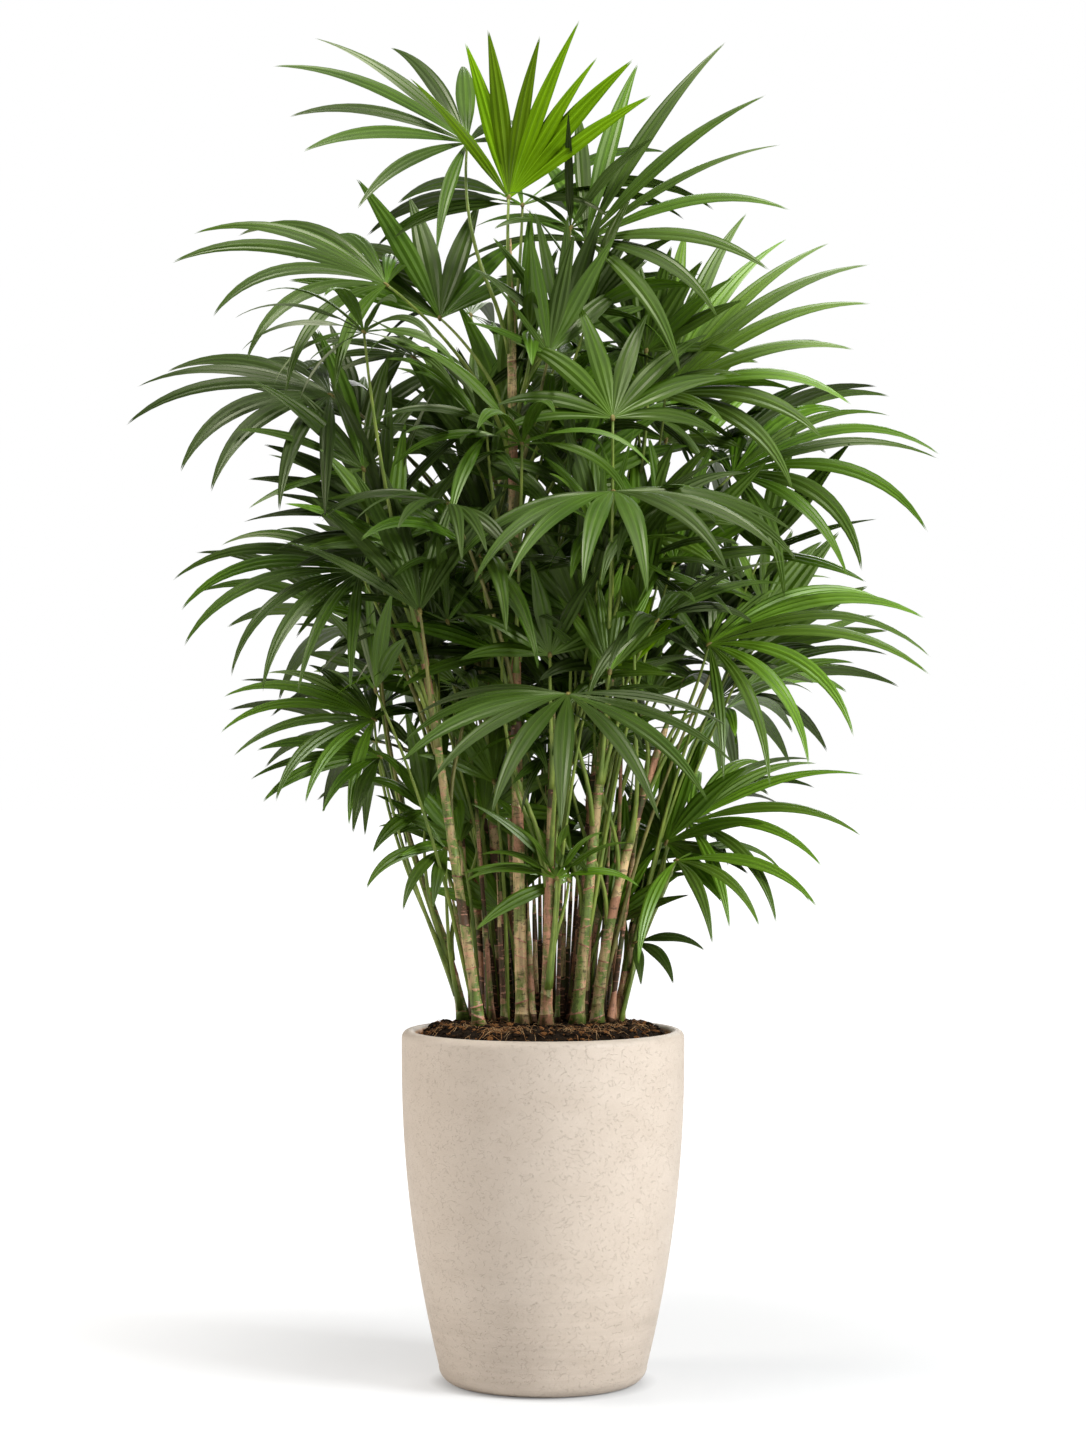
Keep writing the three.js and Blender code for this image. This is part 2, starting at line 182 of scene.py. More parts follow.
# The fronds of the solids, in the order of their nodes. A frond's number is also its seed.
FRONDS = [
    Frond(5, 1.430, 190, 0.060, 1.668, 176, 42, 200, 10, 0.285, 42, 270),
    Frond(5, 1.458, 262, 0.022, 1.592, 8, 78, 78, 8, 0.240, 20, 270),
    Frond(5, 1.335, 2, 0.100, 1.538, 2, 58, 195, 12, 0.328, 44, 270),
    Frond(5, 1.285, 184, 0.170, 1.477, 178, 34, 168, 10, 0.285, 68, 270),
    Frond(5, 1.310, 150, 0.115, 1.440, 110, 62, 110, 7, 0.235, 26, 270),
    Frond(4, 1.110, 204, 0.226, 1.331, 184, 18, 190, 10, 0.282, 60, 270),
    Frond(4, 1.128, 168, 0.177, 1.306, 118, 66, 105, 7, 0.176, 26, 270),
    Frond(2, 0.925, 182, 0.093, 1.090, 178, 20, 200, 12, 0.284, 62, 270),
    Frond(2, 0.900, 262, 0.098, 1.034, 150, 72, 84, 6, 0.208, 30, 270),
    Frond(1, 0.588, 203, 0.103, 0.892, 178, 27, 190, 10, 0.222, 62, 270),
    Frond(1, 0.560, 222, 0.124, 0.842, 196, 4, 130, 6, 0.178, 52, 270),
    Frond(1, 0.540, 258, 0.046, 0.717, 190, 18, 170, 6, 0.138, 64, 270),
    Frond(10, 1.120, 342, 0.072, 1.335, 4, 58, 150, 13, 0.320, 56, 270),
    Frond(7, 0.960, 270, 0.116, 1.288, 100, 74, 165, 8, 0.178, 52, 270),
    Frond(5, 1.000, 276, 0.094, 1.257, 262, 52, 220, 9, 0.245, 73, 270),
    Frond(7, 0.900, 272, 0.164, 1.189, 280, -8, 230, 11, 0.285, 50, 270),
    Frond(6, 0.740, 277, 0.178, 0.925, 260, -18, 224, 10, 0.285, 46, 270),
    Frond(8, 0.830, 352, 0.076, 0.994, 356, 28, 190, 12, 0.325, 66, 270),
    Frond(10, 1.010, 350, 0.172, 1.226, 356, 30, 172, 10, 0.312, 70, 270),
    Frond(9, 0.588, 358, 0.078, 0.751, 0, 32, 170, 9, 0.240, 62, 270),
    Frond(9, 0.560, 316, 0.088, 0.702, 320, 4, 150, 6, 0.212, 66, 270),
    Frond(9, 0.520, 300, 0.034, 0.589, 330, 12, 130, 4, 0.104, 60, 270),
    Frond(6, 0.600, 40, 0.036, 0.675, 166, 48, 140, 6, 0.175, 36, 270),
    Frond(5, 0.930, 228, 0.070, 1.110, 236, 44, 240, 9, 0.245, 70, 270),
    Frond(5, 1.080, 240, 0.072, 1.271, 226, 48, 230, 9, 0.245, 64, 270),
    Frond(7, 0.850, 318, 0.036, 0.955, 60, 76, 60, 5, 0.118, 12, 270),
    Frond(5, 1.400, 80, 0.082, 1.598, 84, 46, 220, 10, 0.285, 56, 90),
    Frond(11, 1.238, 112, 0.122, 1.470, 116, 38, 230, 10, 0.285, 59, 90),
    Frond(11, 1.190, 62, 0.112, 1.432, 60, 38, 230, 10, 0.290, 59, 90),
    Frond(4, 0.960, 217, 0.092, 1.112, 165, 50, 135, 8, 0.270, 44, 270),
    Frond(10, 1.150, 72, 0.122, 1.310, 62, 38, 240, 10, 0.285, 62, 90),
    Frond(13, 1.128, 30, 0.136, 1.262, 34, 34, 230, 10, 0.280, 56, 90),
    Frond(13, 1.070, 84, 0.152, 1.180, 86, 30, 240, 10, 0.285, 62, 90),
    Frond(12, 0.978, 104, 0.142, 1.128, 104, 30, 240, 10, 0.285, 62, 90),
    Frond(12, 0.930, 60, 0.172, 1.012, 56, 24, 230, 10, 0.280, 59, 90),
    Frond(14, 0.900, 158, 0.152, 1.022, 160, 30, 230, 10, 0.270, 56, 90),
    Frond(14, 0.850, 122, 0.152, 0.934, 124, 24, 230, 9, 0.260, 59, 90),
    Frond(12, 0.860, 92, 0.182, 0.868, 90, 20, 230, 9, 0.260, 59, 90),
    Frond(3, 0.780, 166, 0.132, 0.862, 164, 32, 230, 9, 0.240, 56, 90),
    Frond(13, 0.960, 12, 0.142, 0.922, 14, 24, 220, 9, 0.265, 56, 90),
    Frond(3, 0.720, 118, 0.146, 0.776, 118, 20, 220, 8, 0.230, 59, 90),
    Frond(12, 0.740, 68, 0.164, 0.742, 68, 16, 220, 8, 0.225, 59, 90),
    Frond(9, 0.600, 52, 0.124, 0.762, 44, 34, 220, 8, 0.225, 56, 90),
    Frond(8, 0.850, 46, 0.132, 0.902, 40, 30, 220, 9, 0.250, 56, 90),
]

# Small bright fronds at the front that the solids don't have.
ACCENTS = [
    Frond(7, 0.850, 275, 0.090, 0.955, 75, 76, 66, 6, 0.145, 14, 270),
    Frond(6, 0.575, 285, 0.045, 0.680, 270, 57, 130, 7, 0.136, 70, 270),
]

# The fronds of the solids that are not old.
LIVELY = {
    Tone.YOUNG: (2, 26),
    Tone.FRESH: (10, 12, 13, 18, 20, 21, 23, 29, 31, 44),
    Tone.GROWN: (3, 4, 5, 8, 11, 14, 15, 19, 24, 25, 27, 33, 35, 36, 38),
}


@dataclass(frozen=True)
class Leaflet:
    """One leaflet before it is turned clear: its angle in the fan, its length and its bend."""

    angle: float
    length: float
    droop: float


@dataclass(frozen=True)
class Fan:
    """The hub of a frond and the unit vectors of the fan that opens there."""

    hub: np.ndarray
    axis: np.ndarray
    face: np.ndarray
    side: np.ndarray


@dataclass(frozen=True)
class Rows:
    """The frames of a bent piece, one row for each share of its length."""

    centre: np.ndarray
    side: np.ndarray
    up: np.ndarray


def unit(vector: np.ndarray) -> np.ndarray:
    """The vector at a length of 1."""
    return vector / np.linalg.norm(vector, axis=-1, keepdims=True)


def level(way: float) -> np.ndarray:
    """The level unit vector that points a way, counted from +X towards +Y."""
    return np.array((math.cos(math.radians(way)), math.sin(math.radians(way)), 0.0))


def turned(vector: np.ndarray, hinge: np.ndarray, angles: np.ndarray) -> np.ndarray:
    """Turns a vector about a unit hinge.

    Args:
        vector: The vector.
        hinge: The unit vector to turn about.
        angles: One angle a row, in radians.

    Returns:
        One turned vector a row.
    """
    cosine, sine = np.cos(angles)[:, None], np.sin(angles)[:, None]
    return vector * cosine + np.cross(hinge, vector) * sine + hinge * (hinge @ vector) * (1 - cosine)


@dataclass(frozen=True)
class Growth:
    """The rule by which canes, stalks and leaflets grow."""

    foot: float
    flare: float = 0.45
    flare_height: float = 0.016
    stalk_foot: float = 0.0042
    stalk_tip: float = 0.0024
    steepness: float = 62
    rise: float = 0.55
    stand_offs: tuple[float, ...] = (0.0004, 0.0009, 0.0016, 0.0026)
    sways: tuple[float, ...] = (0, 0.018, -0.018, 0.036, -0.036, 0.06, -0.06)
    lean: float = 0.5
    angle_jitter: float = 0.5
    length_jitter: float = 0.16
    droop_jitter: float = 0.4
    short_sides: float = 0.24
    short_angle: float = 110
    steepest: float = 84
    stiffest: float = 0.3
    straightest: float = 0.02
    arch: float = 1.5
    strides: int = 24
    tries: tuple[Pair, ...] = (
        (0, 1), (8, 1), (-8, 1), (16, 0.96), (-16, 0.96), (26, 0.88), (-26, 0.88), (36, 0.76), (-36, 0.76),
    )

    def cane_axis(self, cane: Cane, z: float) -> np.ndarray:
        """The middle of a cane at a height."""
        share = (z - self.foot) / (cane.tip - self.foot)
        lean = math.copysign(abs(share) ** cane.curl, share)
        x = cane.foot_x + (cane.tip_x - cane.foot_x) * lean
        y = cane.foot_y + (cane.tip_y - cane.foot_y) * lean
        return np.array((x, y, z))

    def cane_radius(self, cane: Cane, z: float) -> float:
        """A cane's radius at a height, with the flare at its foot."""
        above = z - self.foot
        share = above / (cane.tip - self.foot)
        flare = 1 + self.flare * math.exp(-above / self.flare_height)
        return (cane.foot_radius + (cane.tip_radius - cane.foot_radius) * share) * flare

    def hub(self, frond: Frond, cane: Cane) -> np.ndarray:
        """Where a frond's stalk ends."""
        hub = self.cane_axis(cane, frond.leaves) + level(frond.way) * frond.reach
        hub[2] = frond.hub
        return hub

    def fan(self, frond: Frond, hub: np.ndarray) -> Fan:
        """How a frond's fan is set at its hub."""
        pitch = math.radians(frond.pitch)
        axis = level(frond.aim) * math.cos(pitch) + UP * math.sin(pitch)
        towards = level(frond.faces) * self.lean + UP
        face = unit(towards - axis * (towards @ axis))
        return Fan(hub, axis, face, np.cross(axis, face))

    def stalk(self, frond: Frond, cane: Cane, fan: Fan, sway: float, stand_off: float) -> np.ndarray:
        """The three points of a stalk's curve.

        Args:
            frond: The frond that the stalk carries.
            cane: The cane that it leaves.
            fan: The fan that it ends in.
            sway: How far it is carried to one side.
            stand_off: The space between the cane and the stalk's foot.

        Returns:
            The foot, the bend and the hub, one a row.
        """
        steep, out = math.radians(self.steepness), level(frond.way)
        clear = self.cane_radius(cane, frond.leaves) + stand_off + self.stalk_foot * math.sin(steep)
        foot = self.cane_axis(cane, frond.leaves) + out * clear
        run = np.linalg.norm(foot - fan.hub) * self.rise
        bend = foot + out * run * math.cos(steep) + UP * run * math.sin(steep)
        return np.array((foot, bend + level(frond.way + 90) * sway, fan.hub))

    def leaflets(self, frond: Frond, seed: int) -> list[Leaflet]:
        """The leaflets of a frond, in order across its fan."""
        stream, made = Stream(seed), []
        for i in range(frond.count):
            place = i / (frond.count - 1) - 0.5
            jitter = self.angle_jitter * (stream.next() - 0.5) / (frond.count - 1)
            short = 1 - self.short_sides * (frond.opens * place / self.short_angle) ** 2
            length = frond.length * short * (1 + self.length_jitter * (stream.next() - 0.5))
            droop = frond.droop * (1 + self.droop_jitter * (stream.next() - 0.5))
            made.append(Leaflet(frond.opens * (place + jitter), length, droop))
        return made

    def blade(self, leaf: Leaflet, fan: Fan, lift: float, size: float, shares: np.ndarray) -> Rows:
        """The frames of a leaflet, which bends down in its own upright plane.

        Args:
            leaf: The leaflet.
            fan: The fan that it is part of.
            lift: How far it is turned out of the fan's plane, in degrees.
            size: Its length as a share of the leaflet's.
            shares: The shares of its length to give a frame for.

        Returns:
            One frame for each share.
        """
        angle, lifted = math.radians(leaf.angle), math.radians(lift)
        flat = fan.axis * math.cos(angle) + fan.side * math.sin(angle)
        start = flat * math.cos(lifted) + fan.face * math.sin(lifted)
        rise, heading = math.asin(start[2]), math.atan2(start[1], start[0])
        weight = self.stiffest + (1 - self.stiffest) * math.cos(rise)
        most = rise + math.radians(self.steepest)
        bend = max(min(math.radians(leaf.droop) * weight, most), self.straightest)
        hinge = np.array((-math.sin(heading), math.cos(heading), 0.0))
        out = np.array((math.cos(heading), math.sin(heading), 0.0))
        passed = shares[:, None] * (np.arange(self.strides) + 0.5) / self.strides
        after = rise - bend * passed**self.arch
        stride = leaf.length * size * shares[:, None] / self.strides
        run, climb = (np.cos(after) * stride).sum(axis=1), (np.sin(after) * stride).sum(axis=1)
        centre = fan.hub + out * run[:, None] + UP * climb[:, None]
        side = turned(np.cross(flat, fan.face), hinge, bend * shares**self.arch)
        along = turned(start, hinge, bend * shares**self.arch)
        return Rows(centre, side, np.cross(side, along))


def stalk_rows(points: np.ndarray, shares: np.ndarray, across: np.ndarray) -> Rows:
    """The frames along a stalk's curve.

    Args:
        points: The curve's foot, bend and end.
        shares: The shares of the curve to give a frame for.
        across: A direction that the curve never takes.

    Returns:
        One frame for each share.
    """
    t = shares[:, None]
    foot, bend, end = points
    centre = foot * (1 - t) ** 2 + bend * 2 * t * (1 - t) + end * t**2
    along = unit((bend - foot) * (1 - t) + (end - bend) * t)
    side = unit(across - along * (along @ across)[:, None])
    return Rows(centre, side, np.cross(side, along))


# --------------------------------------------------------------------------------------------------
# Joined meshes
# --------------------------------------------------------------------------------------------------


@dataclass
class Pattern:
    """A small mesh in its own units: x across, y from 0 to 1 along it and z up out of it."""

    points: np.ndarray
    faces: list[tuple[int, ...]]
    shares: np.ndarray = field(init=False)
    row: np.ndarray = field(init=False)

    def __post_init__(self) -> None:
        """Finds the rows, so that a frame is worked out once for each."""
        self.shares, self.row = np.unique(self.points[:, 1].round(6), return_inverse=True)
        self.row = self.row.ravel()

    @classmethod
    def of(cls, bm: bmesh.types.BMesh) -> "Pattern":
        """A pattern from a bmesh, which is freed."""
        bm.verts.index_update()
        points = np.array([v.co[:] for v in bm.verts])
        faces = [tuple(v.index for v in f.verts) for f in bm.faces]
        bm.free()
        return cls(points, faces)

    def bent(self, rows: Rows, wide: np.ndarray, deep: np.ndarray, camber: float = 0.0) -> np.ndarray:
        """The pattern's points, laid along rows of frames.

        Args:
            rows: A frame for each of the pattern's shares.
            wide: The scale of x in each row.
            deep: The scale of z in each row.
            camber: How far the sides sink, as a share of the half width.

        Returns:
            One point a row.
        """
        at, x, z = self.row, self.points[:, 0], self.points[:, 2]
        across = rows.side[at] * (x * wide[at])[:, None]
        out = rows.up[at] * (z * deep[at] - camber * wide[at] * x**2)[:, None]
        return rows.centre[at] + across + out


def rod(sides: int, cuts: Sequence[float], end: float = 1.0) -> Pattern:
    """A closed rod of radius 1 along y, cut into rows.

    Args:
        sides: The number of its sides.
        cuts: Where it is cut, as shares of its length.
        end: The radius of its far end.

    Returns:
        The rod.
    """
    bm = bmesh.new()
    lay = Matrix.Translation((0, 0.5, 0)) @ Matrix.Rotation(-math.pi / 2, 4, "X")
    bmesh.ops.create_cone(bm, cap_ends=True, segments=sides, radius1=1, radius2=end, depth=1, matrix=lay)
    for cut in cuts:
        bmesh.ops.bisect_plane(bm, geom=bm.verts[:] + bm.edges[:] + bm.faces[:], plane_co=(0, cut, 0),
                               plane_no=(0, 1, 0))
    return Pattern.of(bm)


def ball(divisions: int) -> Pattern:
    """A ball of radius 1, made of triangles."""
    bm = bmesh.new()
    bmesh.ops.create_icosphere(bm, subdivisions=divisions, radius=1.0)
    return Pattern.of(bm)


def linked(name: str, data: bpy.types.ID) -> bpy.types.Object:
    """Makes an object of a mesh, a lamp or a camera and puts it in the scene."""
    made = bpy.data.objects.new(name, data)
    bpy.context.scene.collection.objects.link(made)
    return made


class Batch:
    """Gathers many small meshes and makes one object of them."""

    def __init__(self) -> None:
        """Starts an empty batch."""
        self.points: list[np.ndarray] = []
        self.faces: list[tuple[int, ...]] = []
        self.slots: list[int] = []
        self.maps: list[np.ndarray] = []
        self.count = 0

    def add(self, points: np.ndarray, faces: Sequence[tuple[int, ...]], slot: int | Sequence[int] = 0,
            place: np.ndarray | None = None) -> None:
        """Adds one mesh.

        Args:
            points: Its points.
            faces: Its faces, by the numbers of its own points.
            slot: Its material slot, or one for each face.
            place: Where each point is on the piece's own map.
        """
        start = self.count
        self.points.append(points)
        self.faces.extend(tuple(i + start for i in face) for face in faces)
        self.slots.extend([slot] * len(faces) if isinstance(slot, int) else slot)
        self.maps.append(np.zeros((len(points), 2)) if place is None else place)
        self.count += len(points)

    def object(self, name: str, materials: Sequence[bpy.types.Material], smooth: bool = True,
               map_name: str | None = None) -> bpy.types.Object:
        """Makes the object.

        Args:
            name: The piece's name.
            materials: Its materials, by slot.
            smooth: Whether its faces are shaded smooth.
            map_name: The name of its own map, if its materials read one.

        Returns:
            The object, at the origin.
        """
        mesh = bpy.data.meshes.new(name)
        mesh.from_pydata(np.concatenate(self.points).tolist(), [], self.faces)
        for material in materials:
            mesh.materials.append(material)
        mesh.polygons.foreach_set("material_index", self.slots)
        mesh.polygons.foreach_set("use_smooth", [smooth] * len(self.faces))
        if map_name:
            corners = np.empty(len(mesh.loops), dtype=np.int32)
            mesh.loops.foreach_get("vertex_index", corners)
            layer = mesh.uv_layers.new(name=map_name)
            layer.data.foreach_set("uv", np.concatenate(self.maps)[corners].ravel())
        mesh.validate()
        mesh.update()
        return linked(name, mesh)


def from_bmesh(name: str, bm: bmesh.types.BMesh, material: bpy.types.Material) -> bpy.types.Object:
    """Makes a smooth object from a bmesh, which is freed.

    Args:
        name: The piece's name.
        bm: Its shape.
        material: Its material.

    Returns:
        The object, at the origin.
    """
    mesh = bpy.data.meshes.new(name)
    bm.to_mesh(mesh)
    bm.free()
    mesh.materials.append(material)
    mesh.polygons.foreach_set("use_smooth", [True] * len(mesh.polygons))
    return linked(name, mesh)


def fit(piece: bpy.types.Object, nodes: Sequence[str] = ()) -> bpy.types.Object:
    """Puts a piece on the body and the nodes that it stands for."""
    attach(piece, BODY)
    if nodes:
        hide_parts(*nodes)
    LOG.info("%s: %d faces, stands for %s", piece.name, len(piece.data.polygons), list(nodes) or "itself")
    return piece


# --------------------------------------------------------------------------------------------------
# Shaders
# --------------------------------------------------------------------------------------------------


class Sock:
    """A shader socket that takes part in Python expressions on values."""

    def __init__(self, shader: "Shader", socket: bpy.types.NodeSocket) -> None:
        """Wraps a socket.

        Args:
            shader: The shader that the socket is in.
            socket: The output socket.
        """
        self.shader = shader
        self.socket = socket

    def _maths(self, operation: str, *values: "Value") -> "Sock":
        """A Math node on these values."""
        return self.shader.node("ShaderNodeMath", {"operation": operation}, dict(enumerate(values)))

    def __add__(self, other: "Value") -> "Sock":
        """The sum."""
        return self._maths("ADD", self, other)

    __radd__ = __add__

    def __mul__(self, other: "Value") -> "Sock":
        """The product."""
        return self._maths("MULTIPLY", self, other)

    __rmul__ = __mul__

    def __sub__(self, other: "Value") -> "Sock":
        """The difference."""
        return self._maths("SUBTRACT", self, other)

    def __rsub__(self, other: "Value") -> "Sock":
        """The difference, from the other side."""
        return self._maths("SUBTRACT", other, self)

    def __pow__(self, other: "Value") -> "Sock":
        """The power."""
        return self._maths("POWER", self, other)

    def __rpow__(self, other: "Value") -> "Sock":
        """The power, from the other side."""
        return self._maths("POWER", other, self)

    def __abs__(self) -> "Sock":
        """The size without its sign."""
        return self._maths("ABSOLUTE", self)

    def part(self) -> "Sock":
        """What is over a whole number."""
        return self._maths("FRACT", self)

    def spread(self, low: float, high: float, to_low: float = 0.0, to_high: float = 1.0) -> "Sock":
        """This value's range from low to high, spread over another and kept in it."""
        values = {"Value": self, "From Min": low, "From Max": high, "To Min": to_low, "To Max": to_high}
        return self.shader.node("ShaderNodeMapRange", {}, values)


Value = Union[Sock, float, int]


class Grain(NamedTuple):
    """A noise: its stretch along each axis, how fine it is, its detail and its roughness."""

    stretch: tuple[float, float, float]
    fine: float
    detail: float
    rough: float = 0.55


class Shader:
    """A material whose nodes are made by one method."""

    def __init__(self, name: str) -> None:
        """Starts a material with only its output.

        Args:
            name: The material's name.
        """
        self.material = bpy.data.materials.new(name)
        self.material.use_nodes = True
        self.tree = self.material.node_tree
        self.tree.nodes.clear()

    def node(self, kind: str, settings: dict | None = None, values: dict | None = None,
             out: int | str = 0) -> Sock:
        """Makes a node.

        Args:
            kind: The node's type.
            settings: What is set on the node first. "stops" holds a ramp's (place, colour) pairs.
            values: What goes into its sockets, by name or number: a value or a Sock.
            out: The output to give back.

        Returns:
            That output.
        """
        made = self.tree.nodes.new(kind)
        for key, value in (settings or {}).items():
            if key == "stops":
                self._set_stops(made.color_ramp, value)
            else:
                setattr(made, key, value)
        for key, value in (values or {}).items():
            if isinstance(value, Sock):
                self.tree.links.new(value.socket, made.inputs[key])
            else:
                made.inputs[key].default_value = value
        return Sock(self, made.outputs[out]) if made.outputs else Sock(self, made.inputs[0])

    @staticmethod
    def _set_stops(ramp: bpy.types.ColorRamp, stops: Sequence[tuple[float, Colour]]) -> None:
        """Sets a ramp's stops."""
        while len(ramp.elements) < len(stops):
            ramp.elements.new(1.0)
        for element, (place, colour) in zip(ramp.elements, stops):
            element.position = place
            element.color = (*colour, 1.0)

    def place(self, stretch: Sequence[float] = EVEN, point: Sock | None = None) -> Sock:
        """The point on the piece, or on its own map, stretched along each axis."""
        if point is None:
            point = self.node("ShaderNodeTexCoord", out="Object")
        return self.node("ShaderNodeMapping", {}, {"Vector": point, "Scale": stretch})

    def axis(self, point: Sock, name: str) -> Sock:
        """One coordinate of a point."""
        return self.node("ShaderNodeSeparateXYZ", {}, {0: point}, name)

    def far(self, stretch: Sequence[float] = EVEN) -> Sock:
        """How far the stretched point on the piece is from the origin."""
        return self.node("ShaderNodeVectorMath", {"operation": "LENGTH"}, {0: self.place(stretch)}, "Value")

    def cloud(self, grain: Grain, point: Sock | None = None) -> Sock:
        """A noise from 0 to 1 with its middle near a half."""
        values = {"Vector": self.place(grain.stretch, point), "Scale": grain.fine, "Detail": grain.detail,
                  "Roughness": grain.rough}
        return self.node("ShaderNodeTexNoise", {}, values)

    def cells(self, fine: float) -> Sock:
        """How far a point is from the middle of its cell."""
        return self.node("ShaderNodeTexVoronoi", {}, {"Vector": self.place(), "Scale": fine}, "Distance")

    def mix(self, factor: Value, first: "Sock | Colour", second: "Sock | Colour") -> Sock:
        """A colour between two."""
        ends = [c if isinstance(c, Sock) else (*c, 1.0) for c in (first, second)]
        return self.node("ShaderNodeMix", {"data_type": "RGBA"}, {0: factor, 6: ends[0], 7: ends[1]}, 2)

    def bump(self, height: Sock, distance: float, strength: float) -> Sock:
        """A normal that a height pushes about."""
        values = {"Height": height, "Distance": distance, "Strength": strength}
        return self.node("ShaderNodeBump", {}, values)

    def finish(self, values: dict) -> bpy.types.Material:
        """Closes the material with a Principled shader.

        Args:
            values: What goes into the shader's sockets.

        Returns:
            The material.
        """
        surface = self.node("ShaderNodeBsdfPrincipled", {}, values)
        self.node("ShaderNodeOutputMaterial", {}, {"Surface": surface})
        return self.material


@dataclass(frozen=True)
class LeafFinish:
    """A glossy leaf with lengthwise streaks, fine veins and a yellower foot."""

    name: str
    colour: Colour
    tip: Colour
    shine: float
    sheen: Colour
    roughness: float = 0.43
    streaks: Grain = Grain((6, 0.8, 1), 1.0, 3, 0.6)
    clouds: Grain = Grain(EVEN, 16, 2)
    streaky: float = 0.7
    cloudy: float = 0.3
    veins: int = 3
    vein: Spread = (0.03, 0.16, 0.14, 0.0)
    midrib: Spread = (0.010, 0.035, 0.45, 0.0)
    foot: Spread = (0.0, 0.2, 0.6, 0.0)
    paler_times: float = 1.6
    paler_plus: float = 0.006

    def material(self) -> bpy.types.Material:
        """The leaf's material."""
        shader = Shader(self.name)
        where = shader.node("ShaderNodeUVMap", {"uv_map": BLADE_MAP})
        across, along = shader.axis(where, "X"), shader.axis(where, "Y")
        streaks = shader.cloud(self.streaks, where)
        mottle = streaks * self.streaky + shader.cloud(self.clouds) * self.cloudy
        tone = shader.mix(mottle.spread(0.40, 0.60), self.colour, self.tip)
        paler = tuple(min(1.0, c * self.paler_times + self.paler_plus) for c in self.tip)
        veins = abs((across * self.veins).part() - 0.5).spread(*self.vein)
        for mark in (veins, abs(across - 0.5).spread(*self.midrib), along.spread(*self.foot)):
            tone = shader.mix(mark, tone, paler)
        return shader.finish({
            "Base Color": tone,
            "Roughness": streaks.spread(0.35, 0.65, self.roughness - 0.08, self.roughness + 0.10),
            "Specular IOR Level": self.shine,
            "Specular Tint": (*self.sheen, 1.0),
        })


@dataclass(frozen=True)
class BarkFinish:
    """A cane's skin: patches of a second colour, dark streaks, specks and cuts, and short pale scars."""

    name: str
    skin: Colour
    patch: Colour
    share: float = 0.52
    roughness: float = 0.5
    dark: Colour = (0.030, 0.022, 0.010)
    scar: Colour = (0.50, 0.24, 0.15)
    shine: float = 0.35
    relief: float = 0.0005
    patches: Grain = Grain((1, 1, 0.35), 52, 4, 0.6)
    streaks: Grain = Grain((260, 260, 14), 1.0, 3)
    specks: Grain = Grain((1, 1, 0.6), 330, 2)
    ticks: Grain = Grain((60, 60, 250), 1.0, 2)
    streaked: Spread = (0.46, 0.74, 0.0, 0.5)
    scarred: Spread = (0.60, 0.64, 0.0, 0.75)
    cut: Spread = (0.33, 0.37, 0.6, 0.0)
    specked: Spread = (0.57, 0.66, 0.0, 0.5)

    def material(self) -> bpy.types.Material:
        """The bark's material."""
        shader = Shader(self.name)
        patches, streaks = shader.cloud(self.patches), shader.cloud(self.streaks)
        specks, ticks = shader.cloud(self.specks), shader.cloud(self.ticks)
        tone = shader.mix(patches.spread(self.share - 0.05, self.share + 0.05), self.skin, self.patch)
        for marks, spread, colour in (
            (streaks, self.streaked, self.dark),
            (ticks, self.scarred, self.scar),
            (ticks, self.cut, self.dark),
            (specks, self.specked, self.dark),
        ):
            tone = shader.mix(marks.spread(*spread), tone, colour)
        return shader.finish({
            "Base Color": tone,
            "Roughness": patches.spread(0.3, 0.7, self.roughness - 0.05, self.roughness + 0.15),
            "Specular IOR Level": self.shine,
            "Normal": shader.bump(streaks + specks * 0.6 + ticks * 0.5, self.relief, 0.8),
        })


@dataclass(frozen=True)
class PlainFinish:
    """A finish of two colours in streaks or grains, with relief of its own."""

    name: str
    light: Colour
    dark: Colour
    stretch: tuple[float, float, float]
    fine: float
    relief: float
    roughness: float
    shine: float = 0.3
    streaked: Spread = (0.38, 0.62)
    clouds: Grain = Grain(EVEN, 22, 2)
    clouded: Spread = (0.4, 0.75, 0.0, 0.45)

    def material(self) -> bpy.types.Material:
        """The material."""
        shader = Shader(self.name)
        streaks = shader.cloud(Grain(self.stretch, self.fine, 4, 0.6))
        tone = shader.mix(streaks.spread(*self.streaked), self.dark, self.light)
        tone = shader.mix(shader.cloud(self.clouds).spread(*self.clouded), tone, self.dark)
        return shader.finish({
            "Base Color": tone,
            "Roughness": streaks.spread(0.3, 0.7, self.roughness + 0.1, self.roughness - 0.05),
            "Specular IOR Level": self.shine,
            "Normal": shader.bump(streaks, self.relief, 0.8),
        })


